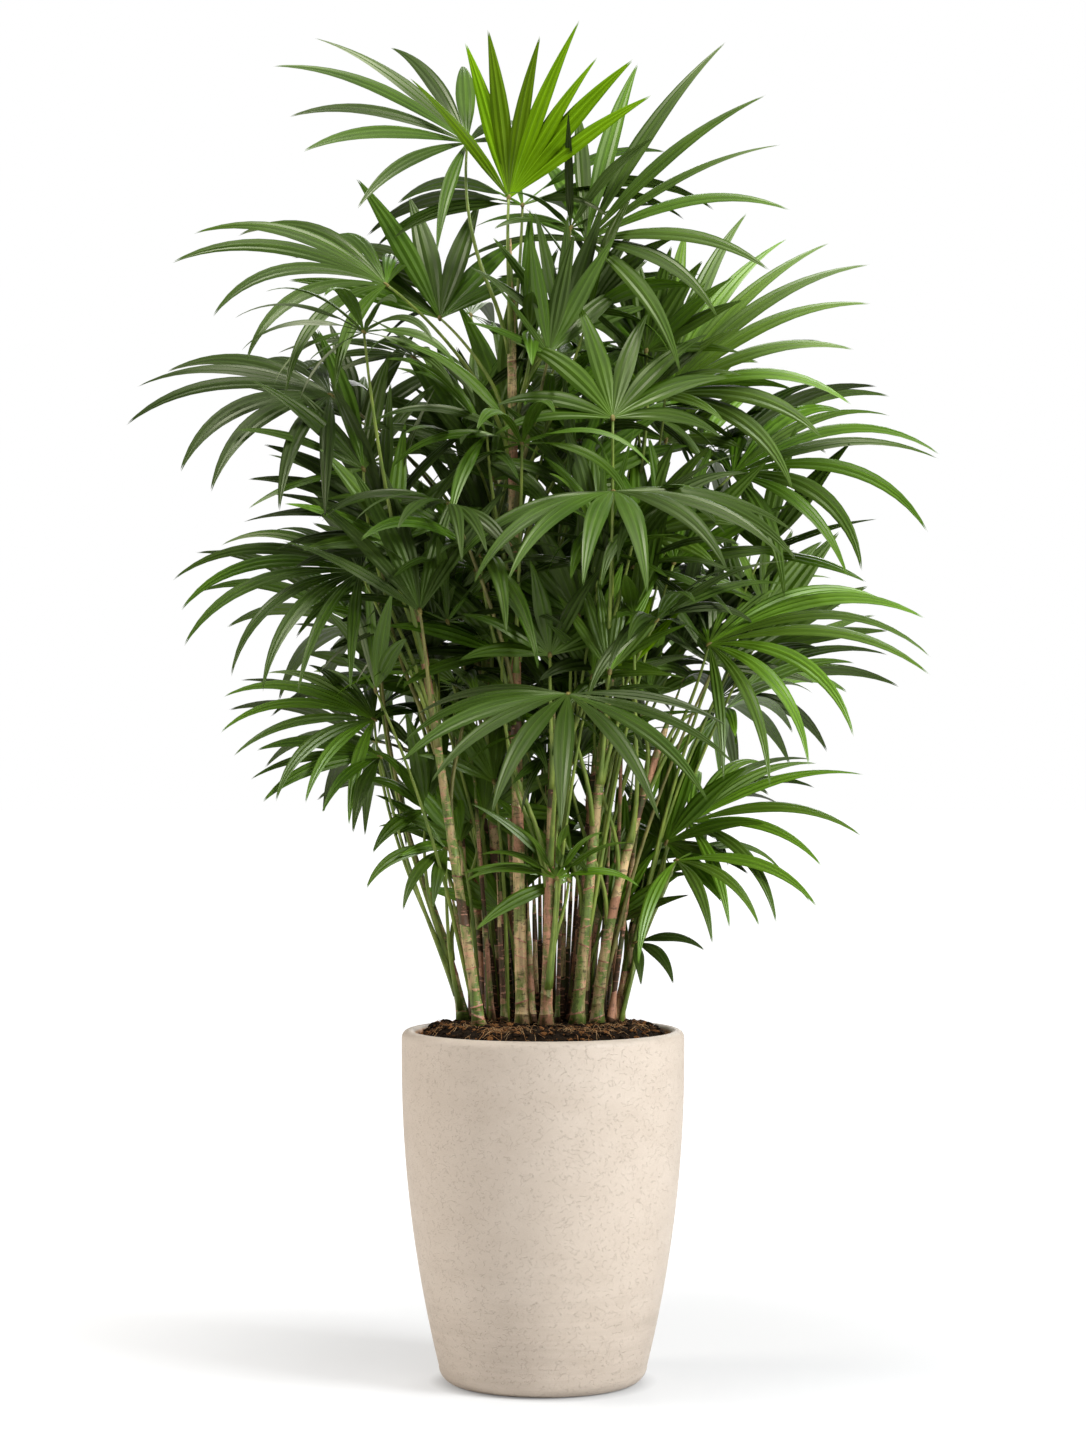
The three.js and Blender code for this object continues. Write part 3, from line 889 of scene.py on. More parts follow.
@dataclass(frozen=True)
class StoneFinish:
    """Pale cast stone with a fine grain, faint clouds, small pits and a wall that the soil has stained."""

    name: str = "cast_stone"
    pale: Colour = (0.530, 0.450, 0.374)
    warm: Colour = (0.490, 0.411, 0.337)
    speck: Colour = (0.24, 0.185, 0.14)
    stain: Colour = (0.56, 0.23, 0.06)
    shine: float = 0.42
    relief: float = 0.0010
    inner_radius: float = 0.1715
    soil_height: float = 0.45
    sand: Grain = Grain(EVEN, 620, 3, 0.7)
    sanded: Spread = (0.3, 0.7, 0.0, 0.14)
    sand_roughness: Spread = (0.3, 0.7, 0.46, 0.68)
    blotches: Grain = Grain((1, 1, 1.6), 17, 4, 0.6)
    blotched: Spread = (0.34, 0.68)
    soaked: Spread = (0.36, 0.58, 0.55, 0.95)
    lines: Grain = Grain((1, 1, 1.35), 105, 2, 0.5)
    line: Spread = (0.004, 0.022, 1.0, 0.0)
    line_patches: tuple[Grain, Spread] = (Grain(EVEN, 150, 1), (0.47, 0.56))
    pits: float = 170.0
    pit: Spread = (0.05, 0.14, 1.0, 0.0)
    pit_patches: tuple[Grain, Spread] = (Grain(EVEN, 30, 2), (0.48, 0.62))
    specks: float = 60.0
    specked: Spread = (0.04, 0.09, 0.55, 0.0)
    speck_patches: tuple[Grain, Spread] = (Grain(EVEN, 12, 2), (0.45, 0.6))
    bands: Grain = Grain((4, 4, 95), 1.0, 4, 0.65)
    banded: Spread = (0.35, 0.65, 0.0, 0.22)
    band_fade: Spread = (0.08, 0.26, 1.0, 0.3)

    def material(self) -> bpy.types.Material:
        """The stone's material."""
        shader = Shader(self.name)

        def patches(kind: tuple[Grain, Spread]) -> Sock:
            """Where one kind of mark shows."""
            grain, spread = kind
            return shader.cloud(grain).spread(*spread)

        up = shader.axis(shader.place(), "Z")
        blotches, sand = shader.cloud(self.blotches), shader.cloud(self.sand)
        wrinkles = abs(shader.cloud(self.lines) - 0.5).spread(*self.line) * patches(self.line_patches)
        pits = shader.cells(self.pits).spread(*self.pit) * patches(self.pit_patches)
        specks = shader.cells(self.specks).spread(*self.specked) * patches(self.speck_patches)
        bands = (shader.cloud(self.bands) * up.spread(*self.band_fade)).spread(*self.banded)
        tone = shader.mix(blotches.spread(*self.blotched), self.warm, self.pale)
        for marks in (bands, wrinkles * 0.22, pits * 0.35, specks * 0.6, sand.spread(*self.sanded)):
            tone = shader.mix(marks, tone, self.speck)
        inside = shader.far((1, 1, 0)).spread(self.inner_radius, self.inner_radius + 0.002, 1.0, 0.0)
        stained = inside * up.spread(self.soil_height - 0.05, self.soil_height)
        tone = shader.mix(stained * blotches.spread(*self.soaked), tone, self.stain)
        return shader.finish({
            "Base Color": tone,
            "Roughness": sand.spread(*self.sand_roughness),
            "Specular IOR Level": self.shine,
            "Normal": shader.bump(sand * 0.4 - wrinkles * 0.7 - pits * 0.9, self.relief, 0.7),
        })


# --------------------------------------------------------------------------------------------------
# Sub-assemblies
# --------------------------------------------------------------------------------------------------


def rounded(centre: Pair, radii: Pair, start: float, end: float, steps: int) -> list[Pair]:
    """Points on an arc of an ellipse, in the half plane of a turned profile.

    Args:
        centre: The ellipse's middle, as (radius, height).
        radii: Its half width and half height.
        start: The first angle, in degrees.
        end: The last angle.
        steps: The number of steps between them.

    Returns:
        The points, as (radius, height).
    """
    angles = [math.radians(start + (end - start) * i / steps) for i in range(steps + 1)]
    return [(centre[0] + radii[0] * math.cos(a), centre[1] + radii[1] * math.sin(a)) for a in angles]


@dataclass
class Pot:
    """The turned pot: a round-edged foot, a wall that swells to upright and a round lip."""

    height: float
    radius: float
    wall: float = 0.020
    floor: float = 0.024
    round: float = 0.023
    swell_height: float = 0.430
    swell: float = 0.0555
    turns: int = 144
    foot_steps: int = 10
    wall_steps: int = 26
    lip_steps: int = 14

    def radius_at(self, z: float) -> float:
        """The outer radius at a height."""
        return self.radius - self.swell * max(1 - z / self.swell_height, 0) ** 2

    def profile(self) -> list[Pair]:
        """The half outline, from the middle of the underside to the middle of the inner floor."""
        half = self.wall / 2
        lip = self.height - half
        heights = [self.round + (lip - self.round) * i / self.wall_steps for i in range(1, self.wall_steps)]
        foot = (self.radius_at(self.round) - self.round, self.round)
        return [
            (0.0, 0.0),
            *rounded(foot, (self.round, self.round), -90, 0, self.foot_steps),
            *((self.radius_at(z), z) for z in heights),
            *rounded((self.radius - half, lip), (half, half), 0, 180, self.lip_steps),
            *((self.radius_at(z) - self.wall, z) for z in reversed(heights)),
            (self.radius_at(self.floor) - self.wall, self.floor),
            (0.0, self.floor),
        ]

    def build(self) -> bpy.types.Object:
        """Turns the profile and dresses it.

        Returns:
            The pot.
        """
        bm = bmesh.new()
        points = [bm.verts.new((r, 0.0, z)) for r, z in self.profile()]
        edges = [bm.edges.new(pair) for pair in zip(points, points[1:])]
        bmesh.ops.spin(bm, geom=points + edges, cent=(0, 0, 0), axis=(0, 0, 1), angle=math.tau,
                       steps=self.turns, use_merge=True)
        bmesh.ops.remove_doubles(bm, verts=bm.verts, dist=1e-6)
        bmesh.ops.recalc_face_normals(bm, faces=bm.faces)
        return fit(from_bmesh("pot_shell", bm, StoneFinish().material()), ["pot"])


@dataclass
class SoilBed:
    """The soil: a lumpy top, crumbs, wood chips and orange coir fibres."""

    top: float
    edge: float
    flat_radius: float = 0.142
    wall_drop: float = 0.018
    drop_curve: float = 1.3
    base: float = 0.40
    lump: float = 0.0035
    lump_sunk: float = 0.6
    broad: float = 38
    fine: float = 95
    fine_share: float = 0.6
    laid: float = 0.985
    crumbs: int = 2600
    crumb: float = 0.0012
    chip: float = 0.0042
    chip_curve: float = 2.5
    crumb_shape: tuple[Pair, ...] = ((0.7, 1.5), (0.6, 1.0), (0.45, 0.8))
    crumb_dent: float = 0.35
    crumb_up: float = 0.2
    fibres: int = 420
    fibre_length: Pair = (0.008, 0.032)
    fibre_radius: Pair = (0.00022, 0.0005)
    fibre_hump: Pair = (0.001, 0.006)
    fibre_curl: Pair = (-0.5, 0.5)
    fibre_bend: float = 3
    fibre_up: float = 0.0006
    patched: float = 0.7
    patch_size: float = 0.22
    patch_out: float = 0.115
    patch_ways: tuple[float, ...] = (3.5, 4.3, 5.3, 6.0, 1.0, 2.2)
    seed: int = 71

    def height_at(self, x: float, y: float) -> float:
        """The height of the soil's top at a place."""
        fall = max(math.hypot(x, y) - self.flat_radius, 0) / (self.edge - self.flat_radius)
        broad = noise.noise(Vector((x * self.broad, y * self.broad, 1.0)))
        fine = noise.noise(Vector((x * self.fine, y * self.fine, 4.0)))
        lumps = broad + self.fine_share * fine
        flat = self.top - self.wall_drop * min(fall, 1.0) ** self.drop_curve
        return flat + self.lump * lumps - self.lump * self.lump_sunk

    def _bed(self, material: bpy.types.Material) -> bpy.types.Object:
        """The lumpy top and its side."""
        bm = bmesh.new()
        bmesh.ops.create_circle(bm, cap_ends=True, cap_tris=True, segments=120, radius=self.edge)
        bmesh.ops.subdivide_edges(bm, edges=bm.edges, cuts=5, use_grid_fill=True)
        rim = [e for e in bm.edges if e.is_boundary]
        side = bmesh.ops.extrude_edge_only(bm, edges=rim)["geom"]
        low = [v for v in side if isinstance(v, bmesh.types.BMVert)]
        lowest = set(low)
        for vert in bm.verts:
            if vert not in lowest:
                vert.co.z = self.height_at(vert.co.x, vert.co.y)
        for vert in low:
            vert.co.z = self.base
        bmesh.ops.contextual_create(bm, geom=[e for e in bm.edges if e.is_boundary])
        bmesh.ops.recalc_face_normals(bm, faces=bm.faces)
        return from_bmesh("soil_bed", bm, material)

    def _spots(self, count: int, stream: Stream) -> Iterator[Pair]:
        """Places on the soil, spread evenly over it."""
        for _ in range(count):
            out, way = self.edge * self.laid * math.sqrt(stream.next()), math.tau * stream.next()
            yield out * math.cos(way), out * math.sin(way)

    def _crumbs(self, materials: Sequence[bpy.types.Material]) -> bpy.types.Object:
        """Crumbs and chips, each a small uneven stone of its own size."""
        stone, batch, stream = ball(1), Batch(), Stream(self.seed)
        for x, y in self._spots(self.crumbs, stream):
            size = self.crumb + self.chip * stream.next() ** self.chip_curve
            shape = np.array([stream.between(*side) for side in self.crumb_shape])
            turn = np.array(Matrix.Rotation(stream.between(0, math.tau), 3, "Z"))
            dents = 1 + self.crumb_dent * np.array([stream.next() - 0.5 for _ in range(len(stone.points))])
            body = (stone.points * dents[:, None] * shape * size) @ turn.T
            here = np.array((x, y, self.height_at(x, y) + size * self.crumb_up))
            batch.add(body + here, stone.faces, int(stream.next() ** 2 * len(materials)))
        return batch.object("soil_crumbs", materials, smooth=False)

    def _fibres(self, materials: Sequence[bpy.types.Material]) -> bpy.types.Object:
        """Loose curled fibres, most of them in a few patches."""
        thread, batch, stream = rod(3, (0.25, 0.5, 0.75), 0.4), Batch(), Stream(self.seed + 1)
        patches = [(self.patch_out * math.cos(a), self.patch_out * math.sin(a)) for a in self.patch_ways]
        for x, y in self._spots(self.fibres, stream):
            if stream.next() < self.patched:
                middle = stream.pick(patches)
                x, y = middle[0] + x * self.patch_size, middle[1] + y * self.patch_size
            way, length = math.tau * stream.next(), stream.between(*self.fibre_length)
            hump, curl = stream.between(*self.fibre_hump), stream.between(*self.fibre_curl)
            t = thread.shares
            angle = way + curl * (t - 0.5) * self.fibre_bend
            step = np.stack((np.cos(angle), np.sin(angle), np.zeros_like(t)), axis=1) * length
            centre = np.array((x, y, 0.0)) + step * (t - 0.5)[:, None]
            ground = np.array([self.height_at(*p[:2]) for p in centre])
            centre[:, 2] = ground + self.fibre_up + hump * np.sin(math.pi * t)
            side = unit(np.cross(step, UP))
            thick = np.full(len(t), stream.between(*self.fibre_radius))
            body = thread.bent(Rows(centre, side, np.cross(side, unit(step))), thick, thick)
            batch.add(body, thread.faces, int(stream.next() * len(materials)))
        return batch.object("soil_fibres", materials)

    def build(self) -> None:
        """Lays the soil and what lies on it."""
        earths = [finish.material() for finish in (
            PlainFinish("soil_dark", (0.020, 0.011, 0.005), (0.004, 0.0025, 0.0015), EVEN, 420,
                        0.0012, 0.9, 0.1),
            PlainFinish("soil_brown", (0.056, 0.028, 0.011), (0.014, 0.007, 0.003), EVEN, 500,
                        0.0006, 0.85, 0.1),
            PlainFinish("soil_rust", (0.24, 0.105, 0.034), (0.07, 0.028, 0.010), EVEN, 500,
                        0.0004, 0.8, 0.1),
        )]
        coirs = [finish.material() for finish in (
            PlainFinish("coir", (0.46, 0.22, 0.075), (0.22, 0.09, 0.03), EVEN, 300, 0.0001, 0.75),
            PlainFinish("coir_pale", (0.58, 0.38, 0.19), (0.34, 0.18, 0.07), EVEN, 300, 0.0001, 0.75),
        )]
        fit(self._bed(earths[0]), ["soil"])
        fit(self._crumbs(earths))
        fit(self._fibres(coirs))


@dataclass
class Clump:
    """The canes: ringed stems with stretches of green, straw and russet, and dark brown stretches of painted
    shade.
    """

    growth: Growth
    sides: int = 18
    seed: int = 500
    first_ring: Pair = (0.006, 0.014)
    last_ring: float = 0.014
    spacing: Pair = (0.012, 0.032)
    wider_up: float = 0.024
    ring_height: Pair = (0.0006, 0.0016)
    ring_swell: Pair = (1.02, 1.08)
    ring_slant: Pair = (-0.5, 0.5)
    ring_under: float = 0.0006
    ring_over: float = 0.001
    ring_share: float = 0.5
    waist_up: float = 0.4
    waist: float = 0.975
    plain_foot: float = 0.1
    blur: Pair = (-0.3, 0.3)
    odd_share: float = 0.22
    uneven: float = 0.04
    uneven_round: float = 1.5
    uneven_up: float = 60
    slim: int = 40
    slim_seed: int = 560
    slim_left: float = -0.10
    slim_across: float = 0.205
    slim_depth: Pair = (0.01, 0.13)
    slim_lean: Pair = (0.1, 0.6)
    slim_back: float = 0.06
    slim_tip: Pair = (0.60, 0.86)
    slim_radius: Pair = (0.0030, 0.0052)
    slim_taper: float = 0.7

    LETTERS = {"g": Skin.GREEN, "s": Skin.STRAW, "u": Skin.RUSSET, "d": Skin.DARK, "r": Skin.RING}
    # Most slim stems stand among the canes and are largely dark brown painted shade (d).
    SLIM_SKINS = ("duu", "udu", "dgg", "ddd", "ddu")
    # Above the cane's tip, the share of the plain radius there and the skin above it.
    SPEAR = (
        (-0.012, 0.95, Skin.STRAW),
        (0.0, 0.72, Skin.GREEN),
        (0.03, 0.42, Skin.GREEN),
        (0.07, 0.18, Skin.GREEN),
    )

    def _stations(self, cane: Cane, stream: Stream) -> Iterator[tuple[float, float, Skin, float]]:
        """Heights up a cane, each with its share of the plain radius, the skin above it and its slant."""
        foot, skins = self.growth.foot, [self.LETTERS[letter] for letter in cane.skins]
        yield foot, 1.0, skins[0], 0.0
        z = foot + stream.between(*self.first_ring)
        while z < cane.tip - self.last_ring:
            up = (z - foot) / (cane.tip - foot)
            skin = skins[0]
            if up > self.plain_foot:
                skin = skins[min(int(up * 3 + stream.between(*self.blur)), 2)]
            # Some stretches take another skin at random, the dark brown painted shade among them.
            if stream.next() < self.odd_share:
                skin = stream.pick((Skin.STRAW, Skin.RUSSET, Skin.GREEN, Skin.DARK))
            scar = Skin.RING if stream.next() < self.ring_share else skin
            slant, high = stream.between(*self.ring_slant), stream.between(*self.ring_height)
            swell = stream.between(*self.ring_swell)
            over = z + high + self.ring_over
            yield z, 1.0, scar, slant
            yield z + self.ring_under, swell, scar, slant
            yield z + high, swell, scar, slant
            yield over, 1.0, skin, slant
            step = stream.between(*self.spacing) + self.wider_up * up
            yield over + step * self.waist_up, self.waist, skin, slant * 0.5
            z += step + high
        for above, share, skin in self.SPEAR:
            yield cane.tip + above, share, skin, 0.0

    def _stem(self, cane: Cane, stream: Stream, batch: Batch) -> None:
        """Adds one cane, drawn up ring by ring from a circle."""
        bm = bmesh.new()
        bmesh.ops.create_circle(bm, cap_ends=False, segments=self.sides, radius=1.0)
        ring = list(bm.verts)
        outs = [v.co.xy.normalized() for v in ring]
        edges, slots, before = list(bm.edges), [], Skin.GREEN
        for i, (z, share, skin, slant) in enumerate(self._stations(cane, stream)):
            if i:
                made = bmesh.ops.extrude_edge_only(bm, edges=edges)["geom"]
                ring = [g for g in made if isinstance(g, bmesh.types.BMVert)]
                edges = [g for g in made if isinstance(g, bmesh.types.BMEdge)
                         and g.verts[0] in ring and g.verts[1] in ring]
                outs = [(v.co.xy - centre).normalized() for v in ring]
                slots.extend([before.value] * self.sides)
            centre = Vector(self.growth.cane_axis(cane, z)[:2])
            radius = self.growth.cane_radius(cane, z) * share
            for vert, out in zip(ring, outs):
                about = Vector((out.x * self.uneven_round, out.y * self.uneven_round, z * self.uneven_up))
                spot = centre + out * radius * (1 + self.uneven * noise.noise(about))
                vert.co = (*spot, z + slant * radius * out.x)
            before = skin
        bmesh.ops.contextual_create(bm, geom=edges)
        bmesh.ops.contextual_create(bm, geom=[e for e in bm.edges if e.is_boundary])
        slots.extend([Skin.STRAW.value] * 2)
        bmesh.ops.recalc_face_normals(bm, faces=bm.faces)
        stem = Pattern.of(bm)
        batch.add(stem.points, stem.faces, slots)

    def _slim(self, number: int) -> Cane:
        """A young or spent stem, thinner than the canes and lower, that stands among them."""
        stream = Stream(self.slim_seed + number)
        x = self.slim_left + self.slim_across * (number + stream.next()) / self.slim
        y, lean = stream.between(*self.slim_depth), stream.between(*self.slim_lean)
        tip, radius = stream.between(*self.slim_tip), stream.between(*self.slim_radius)
        return Cane(x, y, x * (1 + lean), y + self.slim_back * lean, tip, radius, radius * self.slim_taper,
                    1.0, stream.pick(self.SLIM_SKINS))

    def build(self) -> None:
        """Builds every cane as one piece."""
        barks = {
            Skin.GREEN: BarkFinish("cane_green", (0.135, 0.195, 0.034), (0.42, 0.30, 0.14), 0.54),
            Skin.RING: BarkFinish("cane_ring", (0.56, 0.26, 0.17), (0.26, 0.11, 0.062), 0.48),
            Skin.STRAW: BarkFinish("cane_straw", (0.56, 0.39, 0.19), (0.185, 0.220, 0.048)),
            Skin.RUSSET: BarkFinish("cane_russet", (0.44, 0.215, 0.120), (0.175, 0.180, 0.050)),
            # Dark brown painted shade on the canes.
            Skin.DARK: BarkFinish("cane_painted_shade", (0.088, 0.044, 0.020), (0.058, 0.064, 0.018), 0.56, 0.6),
        }
        batch = Batch()
        slim = [self._slim(i) for i in range(self.slim)]
        for i, cane in enumerate(CANES + slim):
            self._stem(cane, Stream(self.seed + i), batch)
        piece = batch.object("cane_stems", [barks[skin].material() for skin in Skin])
        fit(piece, [f"cane_{i + 1:02d}" for i in range(len(CANES))])


@dataclass(frozen=True)
class Spray:
    """A frond as it stands: its fan, its stalk and the frames of every leaflet that it kept."""

    frond: Frond
    fan: Fan
    stalk: np.ndarray
    blades: list[tuple[Leaflet, float, float]]
    tone: Tone
    seed: int
    node: str | None
    cane: Cane | None


class Habit(NamedTuple):
    """One kind of added frond: its first seed and what its stalk and fan are drawn from."""

    seed: int
    way: Pair
    rise: Pair
    reach: Pair
    pitch: Pair
    opens: Pair
    count: tuple[int, int]
    length: Pair
    droop: Pair
    tones: tuple[Tone, ...]
    swing: float = 0
    canes: tuple[int, ...] = ()

    def start(self, number: int) -> tuple[int, Stream, int, Cane]:
        """The seed and stream of one frond, and the number of its cane and the cane."""
        stream = Stream(self.seed + number)
        index = stream.pick(self.canes)
        return self.seed + number, stream, index, CANES[index - 1]

    def aim(self, way: float, stream: Stream) -> float:
        """The way that a fan points, near the way that its stalk leads."""
        return way + stream.between(-self.swing, self.swing)

    def drawn(self, stream: Stream) -> tuple[float, int, float, float]:
        """How far a fan opens, how many leaflets it has and how long and how bent they are."""
        least, more = self.count
        return (stream.between(*self.opens), least + int(stream.next() * more),
                stream.between(*self.length), stream.between(*self.droop))


TUFT = Habit(700, (0, 180), (0.09, 0.17), (0.03, 0.06), (58, 76), (130, 190), (6, 3), (0.13, 0.19), (30, 55),
             (Tone.GROWN, Tone.FRESH, Tone.OLD))
# Fillers lean to the darkest, old green, which is partly painted shade deep in the crown.
FILLER = Habit(900, (-30, 210), (0.12, 0.26), (0.03, 0.12), (24, 66), (170, 240), (7, 4), (0.14, 0.20),
               (45, 72), (Tone.OLD, Tone.OLD, Tone.GROWN, Tone.FRESH), 30,
               (2, 3, 4, 5, 6, 7, 8, 5, 10, 11, 12, 13, 14))
UPRIGHT = Habit(1100, (-200, 20), (0.16, 0.34), (0.03, 0.10), (60, 82), (80, 160), (5, 4), (0.13, 0.21),
                (16, 40), (Tone.OLD, Tone.GROWN, Tone.GROWN, Tone.FRESH), 50,
                (2, 3, 4, 5, 5, 6, 7, 8, 10, 10, 11, 12, 13, 14))
CLIMBER = Habit(1200, (-60, 60), (0.34, 0.52), (0.02, 0.07), (62, 84), (80, 150), (5, 3), (0.13, 0.20),
                (16, 40), (Tone.OLD, Tone.GROWN, Tone.FRESH), 50, (1, 1, 2, 3, 4, 6, 6, 7, 8, 9, 9, 10))
SUCKER = Habit(1300, (-40, 40), (0.13, 0.34), (0.008, 0.04), (58, 80), (70, 140), (4, 3), (0.10, 0.16),
               (15, 40), (Tone.OLD, Tone.GROWN, Tone.FRESH))
LEFT_FRONT = Habit(1500, (205, 262), (0.12, 0.22), (0.10, 0.19), (14, 50), (180, 230), (8, 3), (0.17, 0.23),
                   (50, 72), (Tone.OLD, Tone.OLD, Tone.GROWN), 20, (2, 3, 4, 4, 5, 11))
RIGHT_FRONT = LEFT_FRONT._replace(way=(285, 330), canes=(6, 7, 7, 8, 10, 10))
ACCENT_SEED = 1600


@dataclass
class Crown:
    """Every frond: those of the solids, found again leaf by leaf, and finer ones among them."""

    growth: Growth
    nodes: dict[str, bpy.types.Object]
    near: float = 0.0009
    tufts: int = 2
    fillers: int = 33
    uprights: int = 22
    climbers: int = 18
    suckers: int = 12
    fronts: int = 9
    bare_cane: int = 5
    tuft_below: Pair = (0.004, 0.03)
    deepest: float = 0.50
    filler_lowest: float = 0.60
    filler_below: float = 0.03
    upright_lowest: float = 0.70
    upright_below: float = 0.08
    upright_hubs: Pair = (0.98, 1.41)
    outward: float = 0.5
    climber_leaves: Pair = (0.54, 0.66)
    climber_side: Pair = (-30, 30)
    climber_clear: float = 0.002
    climber_out: Pair = (0.012, 0.03)
    climber_bend: float = 0.55
    left_most: float = -0.225
    lowest_front: float = 0.98
    tallest_left: float = 1.50
    tallest_right: float = 1.16
    front_below: float = 0.03
    sucker_across: Pair = (-0.095, 0.10)
    sucker_depth: Pair = (0.03, 0.125)
    sucker_middle: float = 0.05
    sucker_sunk: float = 0.004
    sucker_bend: float = 0.6

    def _points(self, node: str) -> KDTree:
        """The corners of a frond's solid."""
        corners = self.nodes[node].data.vertices
        tree = KDTree(len(corners))
        for corner in corners:
            tree.insert(corner.co, corner.index)
        tree.balance()
        return tree

    def _found(self, frond: Frond, seed: int) -> Spray:
        """The frond as its solid holds it: the stalk and the leaflets that were clear."""
        node = f"frond_{seed:02d}"
        tree, cane = self._points(node), CANES[frond.cane - 1]
        fan = self.growth.fan(frond, self.growth.hub(frond, cane))
        girth = (self.growth.stalk_foot + self.growth.stalk_tip) / 2

        def miss(points: np.ndarray) -> float:
            """How far a curve's middle is from the middle of the solid's stalk."""
            centre = (points[0] + 2 * points[1] + points[2]) / 4
            return abs(tree.find(centre)[2] - girth)

        curves = [self.growth.stalk(frond, cane, fan, sway, off)
                  for sway in self.growth.sways for off in self.growth.stand_offs]
        blades, end = [], np.array((1.0,))
        for leaf in self.growth.leaflets(frond, seed):
            for lift, size in self.growth.tries:
                tip = self.growth.blade(leaf, fan, lift, size, end).centre[0]
                if tree.find(tip)[2] < self.near:
                    blades.append((leaf, lift, size))
                    break
        tone = next((tone for tone, seeds in LIVELY.items() if seed in seeds), Tone.OLD)
        return Spray(frond, fan, min(curves, key=miss), blades, tone, seed, node, cane)

    def _whole(self, frond: Frond, seed: int, curve: np.ndarray, tone: Tone, cane: Cane | None) -> Spray:
        """A frond that the solids don't have, with every leaflet in its place.

        Args:
            frond: The frond.
            seed: What its leaflets are drawn from.
            curve: The foot, the bend and the end of its stalk.
            tone: Its tone.
            cane: Its cane, if its stalk doesn't come up from the soil.

        Returns:
            The frond as it stands.
        """
        blades = [(leaf, 0.0, 1.0) for leaf in self.growth.leaflets(frond, seed)]
        return Spray(frond, self.growth.fan(frond, curve[2]), curve, blades, tone, seed, None, cane)

    def _added(self, frond: Frond, seed: int, tone: Tone) -> Spray:
        """A frond that the solids don't have, whose stalk bends by the same rule."""
        cane = CANES[frond.cane - 1]
        fan = self.growth.fan(frond, self.growth.hub(frond, cane))
        curve = self.growth.stalk(frond, cane, fan, 0.0, self.growth.stand_offs[0])
        return self._whole(frond, seed, curve, tone, cane)

    def _upright(self, number: int) -> Spray:
        """A fan that stands nearly upright on a long steep stalk, inside the crown."""
        seed, stream, index, cane = UPRIGHT.start(number)
        lowest = max(self.upright_lowest, cane.tip - self.deepest)
        leaves, way = stream.between(lowest, cane.tip - self.upright_below), stream.between(*UPRIGHT.way)
        low, high = self.upright_hubs
        hub = min(max(leaves + stream.between(*UPRIGHT.rise), low), high)
        frond = Frond(index, leaves, way, stream.between(*UPRIGHT.reach), hub, UPRIGHT.aim(way, stream),
                      stream.between(*UPRIGHT.pitch), *UPRIGHT.drawn(stream), 270 + (way + 90) * self.outward)
        return self._added(frond, seed, stream.pick(UPRIGHT.tones))

    def _climber(self, number: int) -> Spray:
        """A fan on a long stalk that runs up beside the canes from low on one of them."""
        seed, stream, index, cane = CLIMBER.start(number)
        left = cane.tip_x <= 0
        outer = 180 if left else 0
        leaves, way = stream.between(*self.climber_leaves), outer + stream.between(*CLIMBER.way)
        side = outer + stream.between(*self.climber_side)
        rise, lean = stream.between(*CLIMBER.rise), stream.between(*CLIMBER.reach)
        axis = self.growth.cane_axis(cane, leaves)
        along = unit(self.growth.cane_axis(cane, leaves + 0.1) - axis)
        foot = axis + level(way) * (self.growth.cane_radius(cane, leaves) + self.climber_clear)
        bend_out, hub_out = self.climber_out
        bend = foot + along * rise * self.climber_bend + level(way) * bend_out
        hub = foot + along * rise + level(side) * lean + level(way) * hub_out
        hub[0] = max(hub[0], self.left_most)
        frond = Frond(index, leaves, way, lean, hub[2], CLIMBER.aim(way, stream),
                      stream.between(*CLIMBER.pitch), *CLIMBER.drawn(stream), 270 + (way + 90) * self.outward)
        tone = stream.pick(CLIMBER.tones)
        # On the crown's left, away from the key lamp, the bright fresh green becomes a darker one as painted
        # shade.
        if left and tone is Tone.FRESH:
            tone = Tone.GROWN
        return self._whole(frond, seed, np.array((foot, bend, hub)), tone, cane)

    def _sucker(self, number: int) -> Spray:
        """A young shoot's frond, whose stalk comes up from the soil."""
        seed = SUCKER.seed + number
        stream = Stream(seed)
        x, y = stream.between(*self.sucker_across), stream.between(*self.sucker_depth)
        foot = np.array((x, y, self.growth.foot - self.sucker_sunk))
        way = math.degrees(math.atan2(y - self.sucker_middle, x)) + stream.between(*SUCKER.way)
        rise = stream.between(*SUCKER.rise)
        frond = Frond(0, foot[2], way, 0.0, foot[2] + rise, way, stream.between(*SUCKER.pitch),
                      *SUCKER.drawn(stream), 270)
        hub = foot + level(way) * stream.between(*SUCKER.reach) + UP * rise
        curve = np.array((foot, foot + UP * rise * self.sucker_bend, hub))
        return self._whole(frond, seed, curve, stream.pick(SUCKER.tones), None)

    def _tuft(self, index: int, turn: int) -> Spray:
        """A small upright frond that hides the top of a cane."""
        seed = TUFT.seed + index * 10 + turn
        stream, cane = Stream(seed), CANES[index - 1]
        leaves = cane.tip - stream.between(*self.tuft_below)
        way = stream.between(*TUFT.way) + 180 * turn
        reach, hub = stream.between(*TUFT.reach), leaves + stream.between(*TUFT.rise)
        frond = Frond(index, leaves, way, reach, hub, way, stream.between(*TUFT.pitch), *TUFT.drawn(stream),
                      270)
        return self._added(frond, seed, stream.pick(TUFT.tones))

    def _filler(self, number: int) -> Spray:
        """A frond of middle size deep in the crown."""
        seed, stream, index, cane = FILLER.start(number)
        lowest = max(self.filler_lowest, cane.tip - self.deepest)
        leaves, way = stream.between(lowest, cane.tip - self.filler_below), stream.between(*FILLER.way)
        hub = leaves + stream.between(*FILLER.rise)
        aim, pitch = FILLER.aim(way, stream), stream.between(*FILLER.pitch)
        frond = Frond(index, leaves, way, stream.between(*FILLER.reach), hub, aim, pitch,
                      *FILLER.drawn(stream), way)
        # The tone leans to the old, darker green, partly as painted shade deep in the crown.
        return self._added(frond, seed, stream.pick(FILLER.tones))

